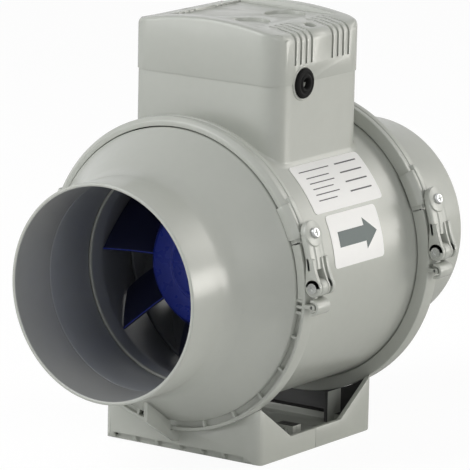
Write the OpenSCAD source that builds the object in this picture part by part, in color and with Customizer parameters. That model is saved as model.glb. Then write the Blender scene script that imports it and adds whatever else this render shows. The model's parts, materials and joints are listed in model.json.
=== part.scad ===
// Inline mixed-flow duct fan for a 125 mm round duct: two flared spigots on a split stand hold a
// removable fan block between them with two clamp bands, each hooked on at the left and drawn shut
// by a toggle latch at the right.
// X is to the side of the duct, Y runs along the airflow from inlet to outlet, Z is up.
// The origin is under the middle of the fan, on the surface that the stand rests on.

/* [Duct and body] */
// Outside diameter of the two spigots, which go into a 125 mm duct
spigot_d = 123; // [118:0.5:124]
// Wall thickness of the spigots
spigot_wall = 2.2; // [1.6:0.1:2.6]
// Length from mouth to mouth
overall_l = 268; // [260:1:290]
// Height of the duct axis above the surface the stand rests on
axis_h = 103.5; // [102:0.5:108]
// Outside radius of the fan casing between the two rings
casing_r = 80; // [79.5:0.5:80.5]
// Wall thickness of the fan casing
casing_wall = 2.6; // [2:0.1:3]
// Distance from the middle of the fan to the wide end of each spigot's cone
cone_end = 68.2; // [68:0.1:69]
// Largest radius of the spigots' cones
cone_r = 82.7; // [82:0.1:83]
// Distance from the mouth to where the straight tube gives way to the cone
tube_l = 33; // [31:1:36]

/* [Clamp rings] */
// Outside radius of both clamp rings
ring_r = 88.4; // [88:0.1:89]
// Distance from the middle of the fan to the near face of each ring
ring_in = 56.8; // [56.5:0.1:57]
// Distance from the middle of the fan to the far face of each ring
ring_out = 67.2; // [67:0.1:67.6]
// Angle above the horizontal at which the lower half ring ends and the clamp band starts
split_deg = 19.6; // [19:0.1:21]

/* [Latches] */
// Radius of the latch hinge from the duct axis, across
hinge_x = 93.8; // [93.6:0.1:94]
// Height of the latch hinge above the duct axis
hinge_z = 5.8; // [5.5:0.1:6]
// Shift of each latch from the middle of its ring, along the airflow
latch_shift = 1.5; // [0:0.1:2]
// Width of a latch lever along the duct
lever_w = 15.2; // [15:0.1:16]

/* [Terminal box] */
// Width of the terminal box across the duct
box_w = 100; // [98:1:101]
// Length of the terminal box along the duct
box_l = 86; // [84:1:88]
// Height of the joint between the box and its lid above the duct axis
lid_joint = 107.6; // [106:0.2:109]
// Height of the lid's crown above the duct axis
lid_top = 141.2; // [140:0.2:142]
// Radius of the box's upright corners
box_corner = 12; // [10:0.5:13]

/* [Stand] */
// Width of the stand across the duct
stand_w = 106; // [104:1:110]
// Length of the stand along the duct
stand_l = 120; // [118:1:122]
// Wall thickness of the stand
stand_wall = 2.6; // [2.2:0.1:3]
// Distance between the fixing holes across the duct
hole_gap_x = 80; // [76:1:84]
// Distance between the fixing holes along the duct
hole_gap_y = 84; // [80:1:88]
// Radius of the fixing holes
hole_r = 2.75; // [2.5:0.05:3]

/* [Impeller] */
// Number of impeller blades
blade_count = 8; // [6:1:10]
// Number of guide vanes behind the impeller
vane_count = 11; // [9:1:13]
// Radius of the motor shaft
shaft_r = 4; // [3.5:0.1:4.5]

/* [Hidden] */
$fn = 96;
fit = 0.06;
gap = 0.3;
spigot_r = spigot_d / 2;
mouth = overall_l / 2;
tube_end = mouth - tube_l;
flange_r = 84;
flange_far = 64.4;
flange_near = 62.4;
casing_flange_far = 60.6;
casing_flange_near = 58.6;
skirt_r = ring_r - 2;
lip_r = 81;
band_front_r = 83.3;
tail_in = ring_r + 0.4;
eye_r = 5;
pin_r = 1.6;
hook_bar_r = 2.2;
link_x = -3.5;
link_z = 9;
catch_drop = 11;
lever_top_deg = 21.4;
ring_mid = (ring_in + ring_out) / 2;
lid_wall = 2;
lid_floor = 137.8;
grommet_y = -18;
grommet_z = 107.4;
screw_x = 41.6;
hub_nose = -41;
hub_back = -6;
toe_r = 7;

// ---------- shared helpers ----------

// Moves its children from the duct axis to their height above the floor.
module on_axis() {
    translate([0, 0, axis_h])
        children();
}

// Turns an outline of [radius, place along Y] about the duct axis, from angle a0 to angle a1.
module turned(a0 = 0, a1 = 360) {
    on_axis()
        rotate([90, 0, 0])
            rotate([0, 0, a0])
                rotate_extrude(angle = a1 - a0)
                    mirror([0, 1])
                        children();
}

// A ring section of rectangular outline.
module ring(r0, r1, y0, y1, a0 = 0, a1 = 360) {
    turned(a0, a1)
        translate([r0, y0])
            square([r1 - r0, y1 - y0]);
}

// A round bar along Y from y0 to y1, at [x, z] from the duct axis.
module bar_y(x, z, r, y0, y1) {
    on_axis()
        translate([x, y0, z])
            rotate([-90, 0, 0])
                cylinder(r = r, h = y1 - y0);
}

// A block given by its lowest and highest corners, with heights from the duct axis.
module block(low, high) {
    on_axis()
        translate(low)
            cube(high - low);
}

// A flat outline of [x, z] points, extruded along Y from y0 to y1.
module slab_xz(y0, y1) {
    on_axis()
        translate([0, y1, 0])
            rotate([90, 0, 0])
                linear_extrude(y1 - y0)
                    children();
}

// A flat outline of [y, z] points, extruded along X from x0 to x1.
module slab_yz(x0, x1) {
    on_axis()
        translate([x0, 0, 0])
            rotate([90, 0, 90])
                linear_extrude(x1 - x0)
                    children();
}

// A centred rectangle with round corners, built of plain pieces so that the corners stay true arcs.
module plain_round_rect(w, l, r) {
    square([w - 2 * r, l], center = true);
    square([w, l - 2 * r], center = true);
    for (sx = [-1, 1], sy = [-1, 1]) {
        translate([sx * (w / 2 - r), sy * (l / 2 - r)])
            circle(r);
    }
}

// ---------- spigots, gaskets and stand ----------

// Radius of the spigot's outer surface, whose straight tube blends into the cone.
function cone_slope() = (cone_r - spigot_r) / (tube_end - 1 - cone_end);
function cone_deg() = atan(cone_slope());
blend_r = 26;
blend_run = blend_r * tan(cone_deg() / 2);

// Outline of the blend, starting on the tube and ending on the cone, d outside the outer surface.
function blend_points(d) = [
    for (i = [0 : 6])
        let (a = cone_deg() * i / 6)
            [
                spigot_r + (blend_r - d) * (1 - cos(a)) + d,
                -(tube_end - 1) - blend_run + (blend_r - d) * sin(a)
            ]
];

module spigot_outline() {
    inner = blend_points(-spigot_wall);
    polygon(concat(
        [[spigot_r - spigot_wall, -mouth + 0.5], [spigot_r - spigot_wall + 0.5, -mouth]],
        [[spigot_r - 0.7, -mouth], [spigot_r, -mouth + 0.7]],
        blend_points(0),
        [[cone_r, -cone_end], [cone_r, -flange_far], [flange_r, -flange_far]],
        [[flange_r, -flange_near], [cone_r - 4.4, -flange_near], [cone_r - 4.4, -cone_end + 1.6]],
        [inner[6], inner[5], inner[4]],
        [[spigot_r - 0.9, -tube_end + 1.6], [spigot_r - 0.9, -tube_end - 1]],
        [[spigot_r - spigot_wall, -tube_end - 1]]
    ));
}

// Lower half ring: a groove for the fan block, and on the far side an open, ribbed channel.
module lower_ring() {
    top = split_deg - 0.5;
    turned(-180 - top, top)
        polygon([
            [cone_r - 0.2, -flange_far], [skirt_r, -flange_far], [skirt_r, -ring_out],
            [ring_r - 0.6, -ring_out], [ring_r, -ring_out + 0.6], [ring_r, -ring_in - 0.6],
            [ring_r - 0.6, -ring_in], [lip_r, -ring_in], [lip_r, -ring_in - 1.4],
            [skirt_r, -ring_in - 1.4], [skirt_r, -flange_near], [cone_r - 0.2, -flange_near]
        ]);
    for (side = [0, 180]) {
        start = side == 0 ? -1 : 181 - top - 1;
        ring(band_front_r, skirt_r + 0.2, -ring_out, -flange_far + 0.2, start, start + top + 0.6);
    }
    for (a = [-90 : 14.7 : -12], s = [-1, 1]) {
        if (a > -89) {
            channel_rib(s > 0 ? a : -180 - a, 1.5);
        }
    }
    for (a = [-4.1, -6.4], s = [-1, 1]) {
        channel_rib(s > 0 ? a : -180 - a, 1.9);
    }
}

// One radial rib across the open channel, at angle a and t thick.
module channel_rib(a, t) {
    on_axis()
        rotate([0, -a, 0])
            translate([cone_r - 0.2, -ring_out + 0.4, -t / 2])
                cube([skirt_r - cone_r + 0.5, ring_out - flange_far, t]);
}

// Nose at the right of the lower half ring, at the place yc, that the catch link hooks over.
module keeper(yc) {
    catch_z = hinge_z - catch_drop;
    bar_y(hinge_x - 0.3, catch_z, 1.7, yc - 7, yc + 2);
    block([ring_r - 1, yc - 7, catch_z - 1.1], [hinge_x - 0.3, yc + 2, catch_z + 1.1]);
}

// Bar between two cheeks at the left of the lower half ring, at the place ym, for the band's hook.
module hook_bar(ym) {
    bar_y(-hinge_x, hinge_z, hook_bar_r, ym - 5, ym + 5);
    for (s = [-1, 1]) {
        y = ym + s * 4.3;
        block([-hinge_x - 2.4, y - 0.8, hinge_z - 3], [-ring_r + 1, y + 0.8, hinge_z + 3]);
    }
}

// The whole spigot; dir is -1 at the inlet and 1 at the outlet.
module spigot(dir) {
    union() {
        if (dir < 0) {
            turned() spigot_outline();
            lower_ring();
        } else {
            mirror([0, 1, 0]) turned() spigot_outline();
            mirror([0, 1, 0]) lower_ring();
        }
        keeper(dir * ring_mid + latch_shift);
        hook_bar(dir * ring_mid);
    }
}

module inlet_spigot() {
    color("gainsboro") spigot(-1);
}

module outlet_spigot() {
    color("gainsboro") spigot(1);
}

// Thin sleeve that carries the air smoothly from the inlet tube to the impeller shroud.
module inlet_liner() {
    color("dimgray")
        turned()
            polygon([
                [spigot_r - 1.95, -tube_end - 0.8], [spigot_r - 1, -tube_end - 0.8],
                [spigot_r - 1, -tube_end + 3], [64.2, -61.3], [63.1, -61.3],
                [spigot_r - 2.1, -tube_end + 3]
            ]);
}

module gasket(dir) {
    y0 = dir < 0 ? -flange_near + 0.02 : casing_flange_far + 0.02;
    ring(78.6, 83.4, y0, y0 + flange_near - casing_flange_far - 0.04);
}

module inlet_gasket() {
    color("dimgray") gasket(-1);
}

module outlet_gasket() {
    color("dimgray") gasket(1);
}

// Side outline of one stand half, from the middle seam to the end wall, as [y, z].
module stand_side() {
    bottom = -axis_h;
    end_y = stand_l / 2;
    polygon(concat(
        [[0.15, bottom]],
        [for (a = [0 : 15 : 90]) [end_y - toe_r + toe_r * sin(a), bottom + toe_r - toe_r * cos(a)]],
        [[end_y, -66], [54, -66], [54, -72], [25, -92], [0.15, -92]]
    ));
}

// One half of the stand, drawn for the outlet side and mirrored for the inlet side.
module stand_half() {
    end_y = stand_l / 2;
    floor_z = -axis_h;
    difference() {
        union() {
            intersection() {
                slab_yz(-stand_w / 2, stand_w / 2) stand_side();
                union() {
                    stand_tray();
                    block([-44, end_y - 9, floor_z], [44, end_y - 2, floor_z + 6.4]);
                }
            }
            for (x = [-30, 30]) {
                block([x - 1.2, end_y - 16, floor_z + 2], [x + 1.2, end_y - stand_wall + 0.2, -80]);
            }
            for (s = [-1, 1]) {
                block([s * 34 - 6, 0.15, floor_z + 2], [s * 34 + 6, 4, floor_z + 11]);
            }
        }
        on_axis()
            rotate([-90, 0, 0])
                cylinder(r = ring_r + 0.1, h = 70);
        for (s = [-1, 1]) {
            translate([s * hole_gap_x / 2, hole_gap_y / 2, -1])
                cylinder(r = hole_r, h = 5);
            translate([s * 34, -1, 6.8])
                rotate([-90, 0, 0])
                    cylinder(r = 1.7, h = 8);
        }
        for (i = [0 : 5]) {
            foot_pocket(-44.6 + i * 15.2);
        }
    }
    stand_gusset();
}

// Floor and walls of the stand as a tray with round upright corners.
module stand_tray() {
    difference() {
        linear_extrude(60)
            plain_round_rect(stand_w, stand_l, 9);
        translate([0, 0, 2.6])
            linear_extrude(60)
                plain_round_rect(stand_w - 2 * stand_wall, stand_l - 2 * stand_wall, 6.4);
    }
}

// Shallow pocket in the rounded bottom edge of the end wall, between two small gussets.
module foot_pocket(x) {
    block([x, stand_l / 2 - 3.8, -axis_h - 0.1], [x + 13.2, stand_l / 2 + 0.1, -axis_h + 4.9]);
}

// Upright rib under the cone, in the middle plane of the duct.
module stand_gusset() {
    slab_yz(-1.2, 1.2)
        polygon([
            [stand_l / 2 - 1, -96.8], [64, -95.8], [91, -79.7], [91, -68.4],
            [cone_end + 0.4, -83.4], [cone_end + 0.4, -ring_r - 0.2],
            [stand_l / 2 - 1, -ring_r - 0.2]
        ]);
}

module inlet_stand_half() {
    color("lightgray") mirror([0, 1, 0]) stand_half();
}

module outlet_stand_half() {
    color("lightgray") stand_half();
}

// Two screws that draw the stand halves together.
module stand_joint_screws() {
    color("silver")
        for (s = [-1, 1]) {
            translate([s * 34, 0, 6.8])
                rotate([-90, 0, 0]) {
                    translate([0, 0, -7])
                        cylinder(r = 1.6, h = 13.5);
                    translate([0, 0, -6.1])
                        cylinder(r = 3, h = 2);
                }
        }
}

// ---------- fan casing and clamp bands ----------

// Drum of the casing with its two flanges; the supply wires pass through the hole in its crown.
module fan_casing() {
    color("gainsboro")
        difference() {
            turned()
                polygon([
                    [casing_r - casing_wall, -casing_flange_far], [flange_r, -casing_flange_far],
                    [flange_r, -casing_flange_near], [casing_r, -casing_flange_near],
                    [casing_r, casing_flange_near], [flange_r, casing_flange_near],
                    [flange_r, casing_flange_far], [casing_r - casing_wall, casing_flange_far]
                ]);
            translate([0, 24, axis_h + 60])
                cylinder(r = 5, h = 40);
        }
}

// Upright walls of the terminal box with the posts for the lid screws, moulded with the casing.
module terminal_box() {
    color("gainsboro")
        difference() {
            union() {
                difference() {
                    translate([0, 0, axis_h + 40])
                        linear_extrude(lid_joint - 0.1 - 40)
                            plain_round_rect(box_w, box_l, box_corner);
                    translate([0, 0, axis_h + 30])
                        linear_extrude(90)
                            plain_round_rect(box_w - 5, box_l - 5, box_corner - 2.5);
                }
                for (s = [-1, 1]) {
                    translate([s * screw_x, 0, axis_h + 60])
                        cylinder(r = 4, h = lid_joint - 60.6);
                }
            }
            on_axis()
                rotate([-90, 0, 0])
                    translate([0, 0, -60])
                        cylinder(r = casing_r - 1, h = 120);
            grommet_hole();
            for (s = [-1, 1]) {
                translate([s * screw_x, 0, axis_h + lid_joint - 16])
                    cylinder(r = 1.5, h = 20);
            }
        }
}

module grommet_hole() {
    translate([box_w / 2 - 8, grommet_y, axis_h + grommet_z])
        rotate([0, 90, 0])
            cylinder(r = 6.2, h = 12);
}

// Upper half of a ring: the hinge eye of its latch is at the right, and its hook at the left.
module clamp_band(dir) {
    yc = dir * ring_mid + latch_shift;
    difference() {
        union() {
            if (dir < 0) {
                band_arch();
            } else {
                mirror([0, 1, 0]) band_arch();
            }
            band_end(dir, yc);
            mirror([1, 0, 0]) band_hook(dir * ring_mid);
        }
        lever_boss(yc, 2.4, ring_r - 6, ring_r + 6);
        bar_y(hinge_x, hinge_z, pin_r, yc - 10, yc + 10);
        mirror([1, 0, 0]) hook_mouth(dir * ring_mid);
    }
}

module band_arch() {
    turned(split_deg, 180 - split_deg)
        polygon([
            [skirt_r, -ring_out + 1.6], [band_front_r, -ring_out + 1.6], [band_front_r, -ring_out],
            [ring_r - 1.4, -ring_out], [ring_r, -ring_out + 1.4], [ring_r, -ring_in - 0.6],
            [ring_r - 0.6, -ring_in], [lip_r, -ring_in], [lip_r, -ring_in - 1.4],
            [skirt_r, -ring_in - 1.4]
        ]);
}

// Thickened end of the band at the latch: block, flap over the near face, tail and eye.
module band_end(dir, yc) {
    y0 = dir < 0 ? -ring_out : ring_in;
    y1 = dir < 0 ? -ring_in : ring_out;
    ring(skirt_r - 1.4, ring_r + 1.6, y0 + 1.6, y1 - 1.6, split_deg, 36);
    ring(ring_r - 0.2, ring_r + 1.6, y0 - 1.4, y0 + 4.5, split_deg, 34);
    ring(dir < 0 ? 83.5 : 81.5, ring_r + 1.6, y0 - 1.4, y0 + 0.1, split_deg, 34);
    ring(tail_in, tail_in + 2.2, yc - 4.7, yc + 0.5, 5, split_deg + 0.5);
    bar_y(hinge_x, hinge_z, eye_r, yc - 4.9, yc + 0.7);
}

// Plain end of the band, drawn on the right side: a tail that wraps around the hook bar.
module band_hook(ym) {
    ring(skirt_r - 1.4, ring_r + 1.4, ym - 4, ym + 4, split_deg + 0.2, 25);
    ring(tail_in, tail_in + 2.2, ym - 3, ym + 3, 5, split_deg + 0.8);
    bar_y(hinge_x, hinge_z, eye_r, ym - 3.2, ym + 3.2);
}

// Room for the hook bar, open outwards and up, so that the band comes off once it is swung up.
module hook_mouth(ym) {
    slot = hook_bar_r + gap / 2;
    bar_y(hinge_x, hinge_z, hook_bar_r + gap, ym - 4, ym + 4);
    on_axis()
        translate([hinge_x, ym - 4, hinge_z])
            rotate([0, -45, 0])
                translate([0, 0, -slot])
                    cube([9, 8, 2 * slot]);
}

module inlet_clamp_band() {
    color("gainsboro") clamp_band(-1);
}

module outlet_clamp_band() {
    color("gainsboro") clamp_band(1);
}

// ---------- latches ----------

inlet_yc = -ring_mid + latch_shift;
outlet_yc = ring_mid + latch_shift;

// Hinge pins, pressed into the bands' eyes; each has a dished head on its near end.
module latch_hinge_pins() {
    color("silver") {
        hinge_pin(inlet_yc);
        hinge_pin(outlet_yc);
    }
}

module hinge_pin(yc) {
    difference() {
        union() {
            bar_y(hinge_x, hinge_z, pin_r, yc - 7.95, yc + 2.4);
            bar_y(hinge_x, hinge_z, 2.9, yc - 8.6, yc - 7.7);
        }
        bar_y(hinge_x, hinge_z, 1.2, yc - 8.7, yc - 8.1);
    }
}

// Lever plate with its cheeks, at the place yc.
module lever(yc) {
    half = lever_w / 2;
    difference() {
        union() {
            ring(tail_in + 2.6, tail_in + 5.8, yc - half, yc + half, 6.8, lever_top_deg);
            lever_boss(yc, 7.4, tail_in + 2.6, tail_in + 6.8);
            lever_cheek(yc - half, yc - 5.1);
            lever_cheek(yc + 0.9, yc + 2.5);
            lever_cheek(yc + 4.9, yc + half);
        }
        // room for the eye and for the catch link's arm
        bar_y(hinge_x, hinge_z, eye_r + gap, yc - 5.1, yc + 0.9);
        on_axis()
            translate([hinge_x - 9, yc + 2.5, hinge_z - 8])
                cube([16, 2.4, 8 + link_z + 2.6]);
        bar_y(hinge_x, hinge_z, pin_r + fit, yc - 12, yc + 3);
        bar_y(hinge_x + link_x, hinge_z + link_z, 1.1 + fit, yc + 0.5, yc + 6.6);
        lever_boss(yc, 1.5, tail_in, tail_in + 12);
    }
}

// Round end of the lever around its lock screw, from r0 to r1 from the duct axis.
module lever_boss(yc, r, r0, r1) {
    on_axis()
        rotate([0, 90 - lever_top_deg, 0])
            translate([0, yc, r0])
                cylinder(r = r, h = r1 - r0);
}

// Side wall of the lever between two places along Y.
module lever_cheek(y0, y1) {
    bar_y(hinge_x, hinge_z, eye_r, y0, y1);
    slab_xz(y0, y1)
        polygon([
            [hinge_x - 5, hinge_z], [hinge_x + 5, hinge_z], [hinge_x + 1.2, hinge_z + 9],
            [hinge_x - 0.6, hinge_z + 16], [hinge_x - 4.9, hinge_z + 16], [hinge_x - 4.9, hinge_z + 8]
        ]);
}

// Arm and hollow hook bar that draw the band down onto the keeper.
module catch_link(yc) {
    catch_x = hinge_x - 0.3;
    catch_z = hinge_z - catch_drop;
    bx = hinge_x + link_x;
    bz = hinge_z + link_z;
    difference() {
        union() {
            bar_y(bx, bz, 2.2, yc + 2.8, yc + 4.6);
            bar_y(bx, bz, 1.1, yc + 1.1, yc + 6.4);
            slab_xz(yc + 2.8, yc + 4.6)
                polygon([
                    [bx - 1.5, bz], [bx + 1.5, bz], [bx + 1.5, catch_z + 5.4],
                    [catch_x + 3, catch_z + 3], [catch_x - 1.2, catch_z + 2.4], [bx - 1.5, catch_z + 4.6]
                ]);
            bar_y(catch_x, catch_z, 4.4, yc - 8, yc + 4.6);
        }
        bar_y(catch_x, catch_z, 3, yc - 8.1, yc + 2.8);
        block([catch_x - 6, yc - 8.1, catch_z - 6], [catch_x - 1.2, yc + 2.8, catch_z + 5]);
        block([catch_x - 6, yc + 2.7, catch_z - 6], [catch_x - 1.2, yc + 4.7, catch_z + 1.5]);
    }
}

// Screw that locks the lever's free end to the band; it stays captive in the lever.
module lock_screw(yc) {
    head = tail_in + 6.84;
    difference() {
        union() {
            lever_boss(yc, 1.5, ring_r - 3, head + 0.1);
            lever_boss(yc, 3.1, head, head + 1.2);
            lever_boss(yc, 2.4, head, head + 1.9);
        }
        on_axis()
            rotate([0, 90 - lever_top_deg, 0])
                translate([0, yc, head + 1.6]) {
                    cube([3.4, 0.8, 1.8], center = true);
                    cube([0.8, 3.4, 1.8], center = true);
                }
    }
}

module inlet_lever() {
    color("whitesmoke") lever(inlet_yc);
}

module outlet_lever() {
    color("whitesmoke") lever(outlet_yc);
}

module inlet_catch_link() {
    color("whitesmoke") catch_link(inlet_yc);
}

module outlet_catch_link() {
    color("whitesmoke") catch_link(outlet_yc);
}

module inlet_lock_screw() {
    color("silver") lock_screw(inlet_yc);
}

module outlet_lock_screw() {
    color("silver") lock_screw(outlet_yc);
}

// ---------- impeller, guide vanes and motor ----------

// Inner radius of the shroud around the blade tips at the place y.
function shroud_r(y) = y < -50 ? 61.8 : 61.8 + (y + 50) * 12.8 / 44;
// Outer radius of the impeller hub at the place y.
function hub_r(y) = 52 - 18.8 * pow((hub_back - y) / (hub_back - hub_nose), 1.25);

module impeller_shroud() {
    color("dimgray")
        turned()
            polygon([
                [61.6, -60.4], [62.9, -60.4], [63.6, -59.4], [63.6, -50], [69.2, -35], [77.2, -35],
                [77.2, -33], [71.1, -33], [76.4, -6.2], [74.6, -6.2], [shroud_r(-28), -28],
                [61.8, -50], [61.8, -60]
            ]);
}

module impeller_hub() {
    steps = 6;
    hub_wall = 2;
    ys = [for (i = [0 : steps]) hub_nose + (hub_back - hub_nose) * i / steps];
    color("midnightblue")
        turned()
            polygon(concat(
                [[shaft_r, hub_nose + 3], [9, hub_nose + 3], [9, hub_nose]],
                [[19.4, hub_nose], [19.8, hub_nose + 0.5], [20.4, hub_nose + 0.5], [20.8, hub_nose]],
                [for (y = ys) [hub_r(y), y]],
                [for (i = [steps : -1 : 1]) [hub_r(ys[i]) - hub_wall, ys[i]]],
                [[30, hub_nose + 2.4], [9, hub_nose + 5.4], [9, -16], [shaft_r, -16]]
            ));
}

function lerp(a, b, t) = a + (b - a) * t;
// Cells in a blade's grid, over its span and over its chord.
span_cells = 4;
chord_cells = 7;
blade_grid = [for (i = [0 : span_cells], j = [0 : chord_cells]) [i / span_cells, j / chord_cells]];

// Curved blade as one solid between the points of its two sides, each a grid in rows of the chord.
module blade_solid(points_near, points_far) {
    row = chord_cells + 1;
    n = (span_cells + 1) * row;
    near = [
        for (i = [0 : span_cells - 1], j = [0 : chord_cells - 1])
            each [
                [i * row + j, (i + 1) * row + j, (i + 1) * row + j + 1],
                [i * row + j, (i + 1) * row + j + 1, i * row + j + 1]
            ]
    ];
    far = [for (f = near) [n + f[0], n + f[2], n + f[1]]];
    rim_u = [
        for (j = [0 : chord_cells - 1])
            each [
                [j, j + 1, n + j + 1],
                [j, n + j + 1, n + j],
                [span_cells * row + j + 1, span_cells * row + j, n + span_cells * row + j],
                [span_cells * row + j + 1, n + span_cells * row + j, n + span_cells * row + j + 1]
            ]
    ];
    rim_v = [
        for (i = [0 : span_cells - 1])
            each [
                [(i + 1) * row, i * row, n + i * row],
                [(i + 1) * row, n + i * row, n + (i + 1) * row],
                [i * row + chord_cells, (i + 1) * row + chord_cells, n + (i + 1) * row + chord_cells],
                [i * row + chord_cells, n + (i + 1) * row + chord_cells, n + i * row + chord_cells]
            ]
    ];
    polyhedron(points = concat(points_near, points_far), faces = concat(near, far, rim_u, rim_v));
}

// Point of an impeller blade's middle surface, turned by half its thickness to one side.
function impeller_point(u, v, side) =
    let (
        y = lerp(lerp(-40.5, -51, u), lerp(-17, -21.5, u), v),
        r = lerp(hub_r(max(y, hub_nose)) - 0.9, shroud_r(y) - 0.8, u),
        half = lerp(0.9, 0.7, v) + 0.3 * (1 - u),
        a = -lerp(29, 18.4, u) * pow(v, 0.9) + 2 * u * (1 - v) + side * half * 57.3 / r
    )
    [r * cos(a), y, r * sin(a)];

// Point of a guide vane's middle surface.
function vane_point(u, v, side) =
    let (
        y = lerp(1, 36, v),
        r = lerp(51.2, 76, u),
        a = 24 * pow(1 - v, 1.8) + side * 0.8 * 57.3 / r
    )
    [r * cos(a), y, r * sin(a)];

module impeller_blades() {
    color("royalblue")
        for (k = [0 : blade_count - 1]) {
            on_axis()
                rotate([0, -(174.5 + k * 360 / blade_count), 0])
                    blade_solid(
                        [for (g = blade_grid) impeller_point(g[0], g[1], -1)],
                        [for (g = blade_grid) impeller_point(g[0], g[1], 1)]
                    );
        }
}

module impeller_retaining_ring() {
    color("silver")
        ring(shaft_r - 0.5, 7, hub_nose + 1.7, hub_nose + 2.9);
}

module motor_shaft() {
    color("silver")
        turned()
            polygon([
                [0, hub_nose + 0.8], [shaft_r - 0.5, hub_nose + 0.8], [shaft_r - 0.5, hub_nose + 2.95],
                [shaft_r, hub_nose + 2.95], [shaft_r, 41], [shaft_r - 0.5, 41.5], [0, 41.5]
            ]);
}

module motor_rotor() {
    color("silver")
        ring(shaft_r, 17.6, 8, 28);
}

module motor_stator() {
    color("dimgray")
        difference() {
            ring(18.3, 33.4, 9, 27);
            for (k = [0 : 11]) {
                on_axis()
                    rotate([0, k * 30, 0])
                        translate([24.5, 8, 0])
                            rotate([-90, 0, 0])
                                cylinder(r = 3, h = 20);
            }
        }
}

// Copper coils: bars in the stator's slots, joined by an end ring on each side.
module motor_windings() {
    color("peru")
        union() {
            for (k = [0 : 11]) {
                on_axis()
                    rotate([0, k * 30, 0])
                        translate([24.5, 4.6, 0])
                            rotate([-90, 0, 0])
                                cylinder(r = 2.8, h = 26.8);
            }
            ring(20.5, 30.5, 4.4, 8.6);
            ring(20.5, 30.5, 27.4, 31.6);
        }
}

module motor_housing() {
    color("silver")
        difference() {
            turned()
                polygon([
                    [11.05, 33.2], [33.5, 33.2], [33.5, 2.2], [46, 2.2], [46, 4.4], [36, 4.4],
                    [36, 35.6], [14, 35.6], [14, 40.4], [11.05, 40.4]
                ]);
            motor_screw_bars(1.55, -4, 12);
        }
}

module motor_front_cover() {
    color("silver")
        difference() {
            turned()
                polygon([
                    [11.05, -5.4], [14, -5.4], [14, -0.2], [46, -0.2], [46, 2.15], [11.05, 2.15]
                ]);
            motor_screw_bars(1.55, -4, 12);
        }
}

// Three round bars of radius r along Y, where the motor's screws go.
module motor_screw_bars(r, y0, y1) {
    for (k = [0 : 2]) {
        a = k * 120 + 30;
        bar_y(41 * cos(a), 41 * sin(a), r, y0, y1);
    }
}

// A sealed ball bearing.
module bearing(y0) {
    turned()
        polygon([
            [shaft_r + 0.05, y0], [5.6, y0], [5.8, y0 + 0.4], [9.4, y0 + 0.4], [9.6, y0], [11, y0],
            [11, y0 + 7], [9.6, y0 + 7], [9.4, y0 + 6.6], [5.8, y0 + 6.6], [5.6, y0 + 7],
            [shaft_r + 0.05, y0 + 7]
        ]);
}

module front_bearing() {
    color("silver") bearing(-5.2);
}

module rear_bearing() {
    color("silver") bearing(33.3);
}

// Three screws that hold the motor's flange and cover to the guide vane hub.
module motor_screws() {
    color("silver") {
        motor_screw_bars(2.9, -2.4, -0.25);
        motor_screw_bars(1.5, -2.4, 10.6);
    }
}

// Vanes that straighten the air; their roots and tips are set 0.8 mm into the hub and the ring.
module guide_vanes() {
    color("dimgray")
        for (k = [0 : vane_count - 1]) {
            on_axis()
                rotate([0, -(15 + k * 360 / vane_count), 0])
                    blade_solid(
                        [for (g = blade_grid) vane_point(g[0], g[1], -1)],
                        [for (g = blade_grid) vane_point(g[0], g[1], 1)]
                    );
        }
}

module guide_vane_ring() {
    color("dimgray") ring(75.2, 77.2, -3, 38);
}

// Bowl behind the impeller that carries the motor and closes in a smooth nose.
module guide_vane_hub() {
    color("dimgray")
        difference() {
            turned()
                polygon([
                    [36.3, 4.5], [50, 4.5], [50, -3], [52, -3], [52, 34], [48, 44], [38, 53],
                    [22, 59], [0, 61], [0, 59], [22, 57], [37, 51], [46, 43], [50, 33.5], [50, 8],
                    [36.3, 8]
                ]);
            motor_screw_bars(1.55, -4, 12);
        }
}

// ---------- terminal box ----------

// Outline of the lid across the duct, as [x, z], shrunk by d for its inside.
crown_r = 202;
function crown_z(x, d) = lid_top - crown_r + sqrt(pow(crown_r - d, 2) - pow(x, 2));
module lid_outline(d) {
    w = box_w / 2 + 0.4 - d;
    round_r = 6;
    edge = w - round_r;
    edge_z = crown_z(edge, d);
    polygon(concat(
        [[-w, lid_joint - (d > 0 ? 1 : 0)], [w, lid_joint - (d > 0 ? 1 : 0)]],
        [for (a = [0 : 15 : 75]) [edge + round_r * cos(a), edge_z - round_r + round_r * sin(a)]],
        [for (x = [edge : -edge / 6 : -edge]) [x, crown_z(x, d)]],
        [for (a = [105 : 15 : 180]) [-edge + round_r * cos(a), edge_z - round_r + round_r * sin(a)]]
    ));
}

module lid_body(d) {
    intersection() {
        slab_xz(-box_l / 2 - 2, box_l / 2 + 2) lid_outline(d);
        translate([0, 0, axis_h + 100])
            linear_extrude(50)
                plain_round_rect(box_w + 0.8 - 2 * d, box_l + 0.8 - 2 * d, box_corner + 0.4 - d);
    }
}

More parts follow.
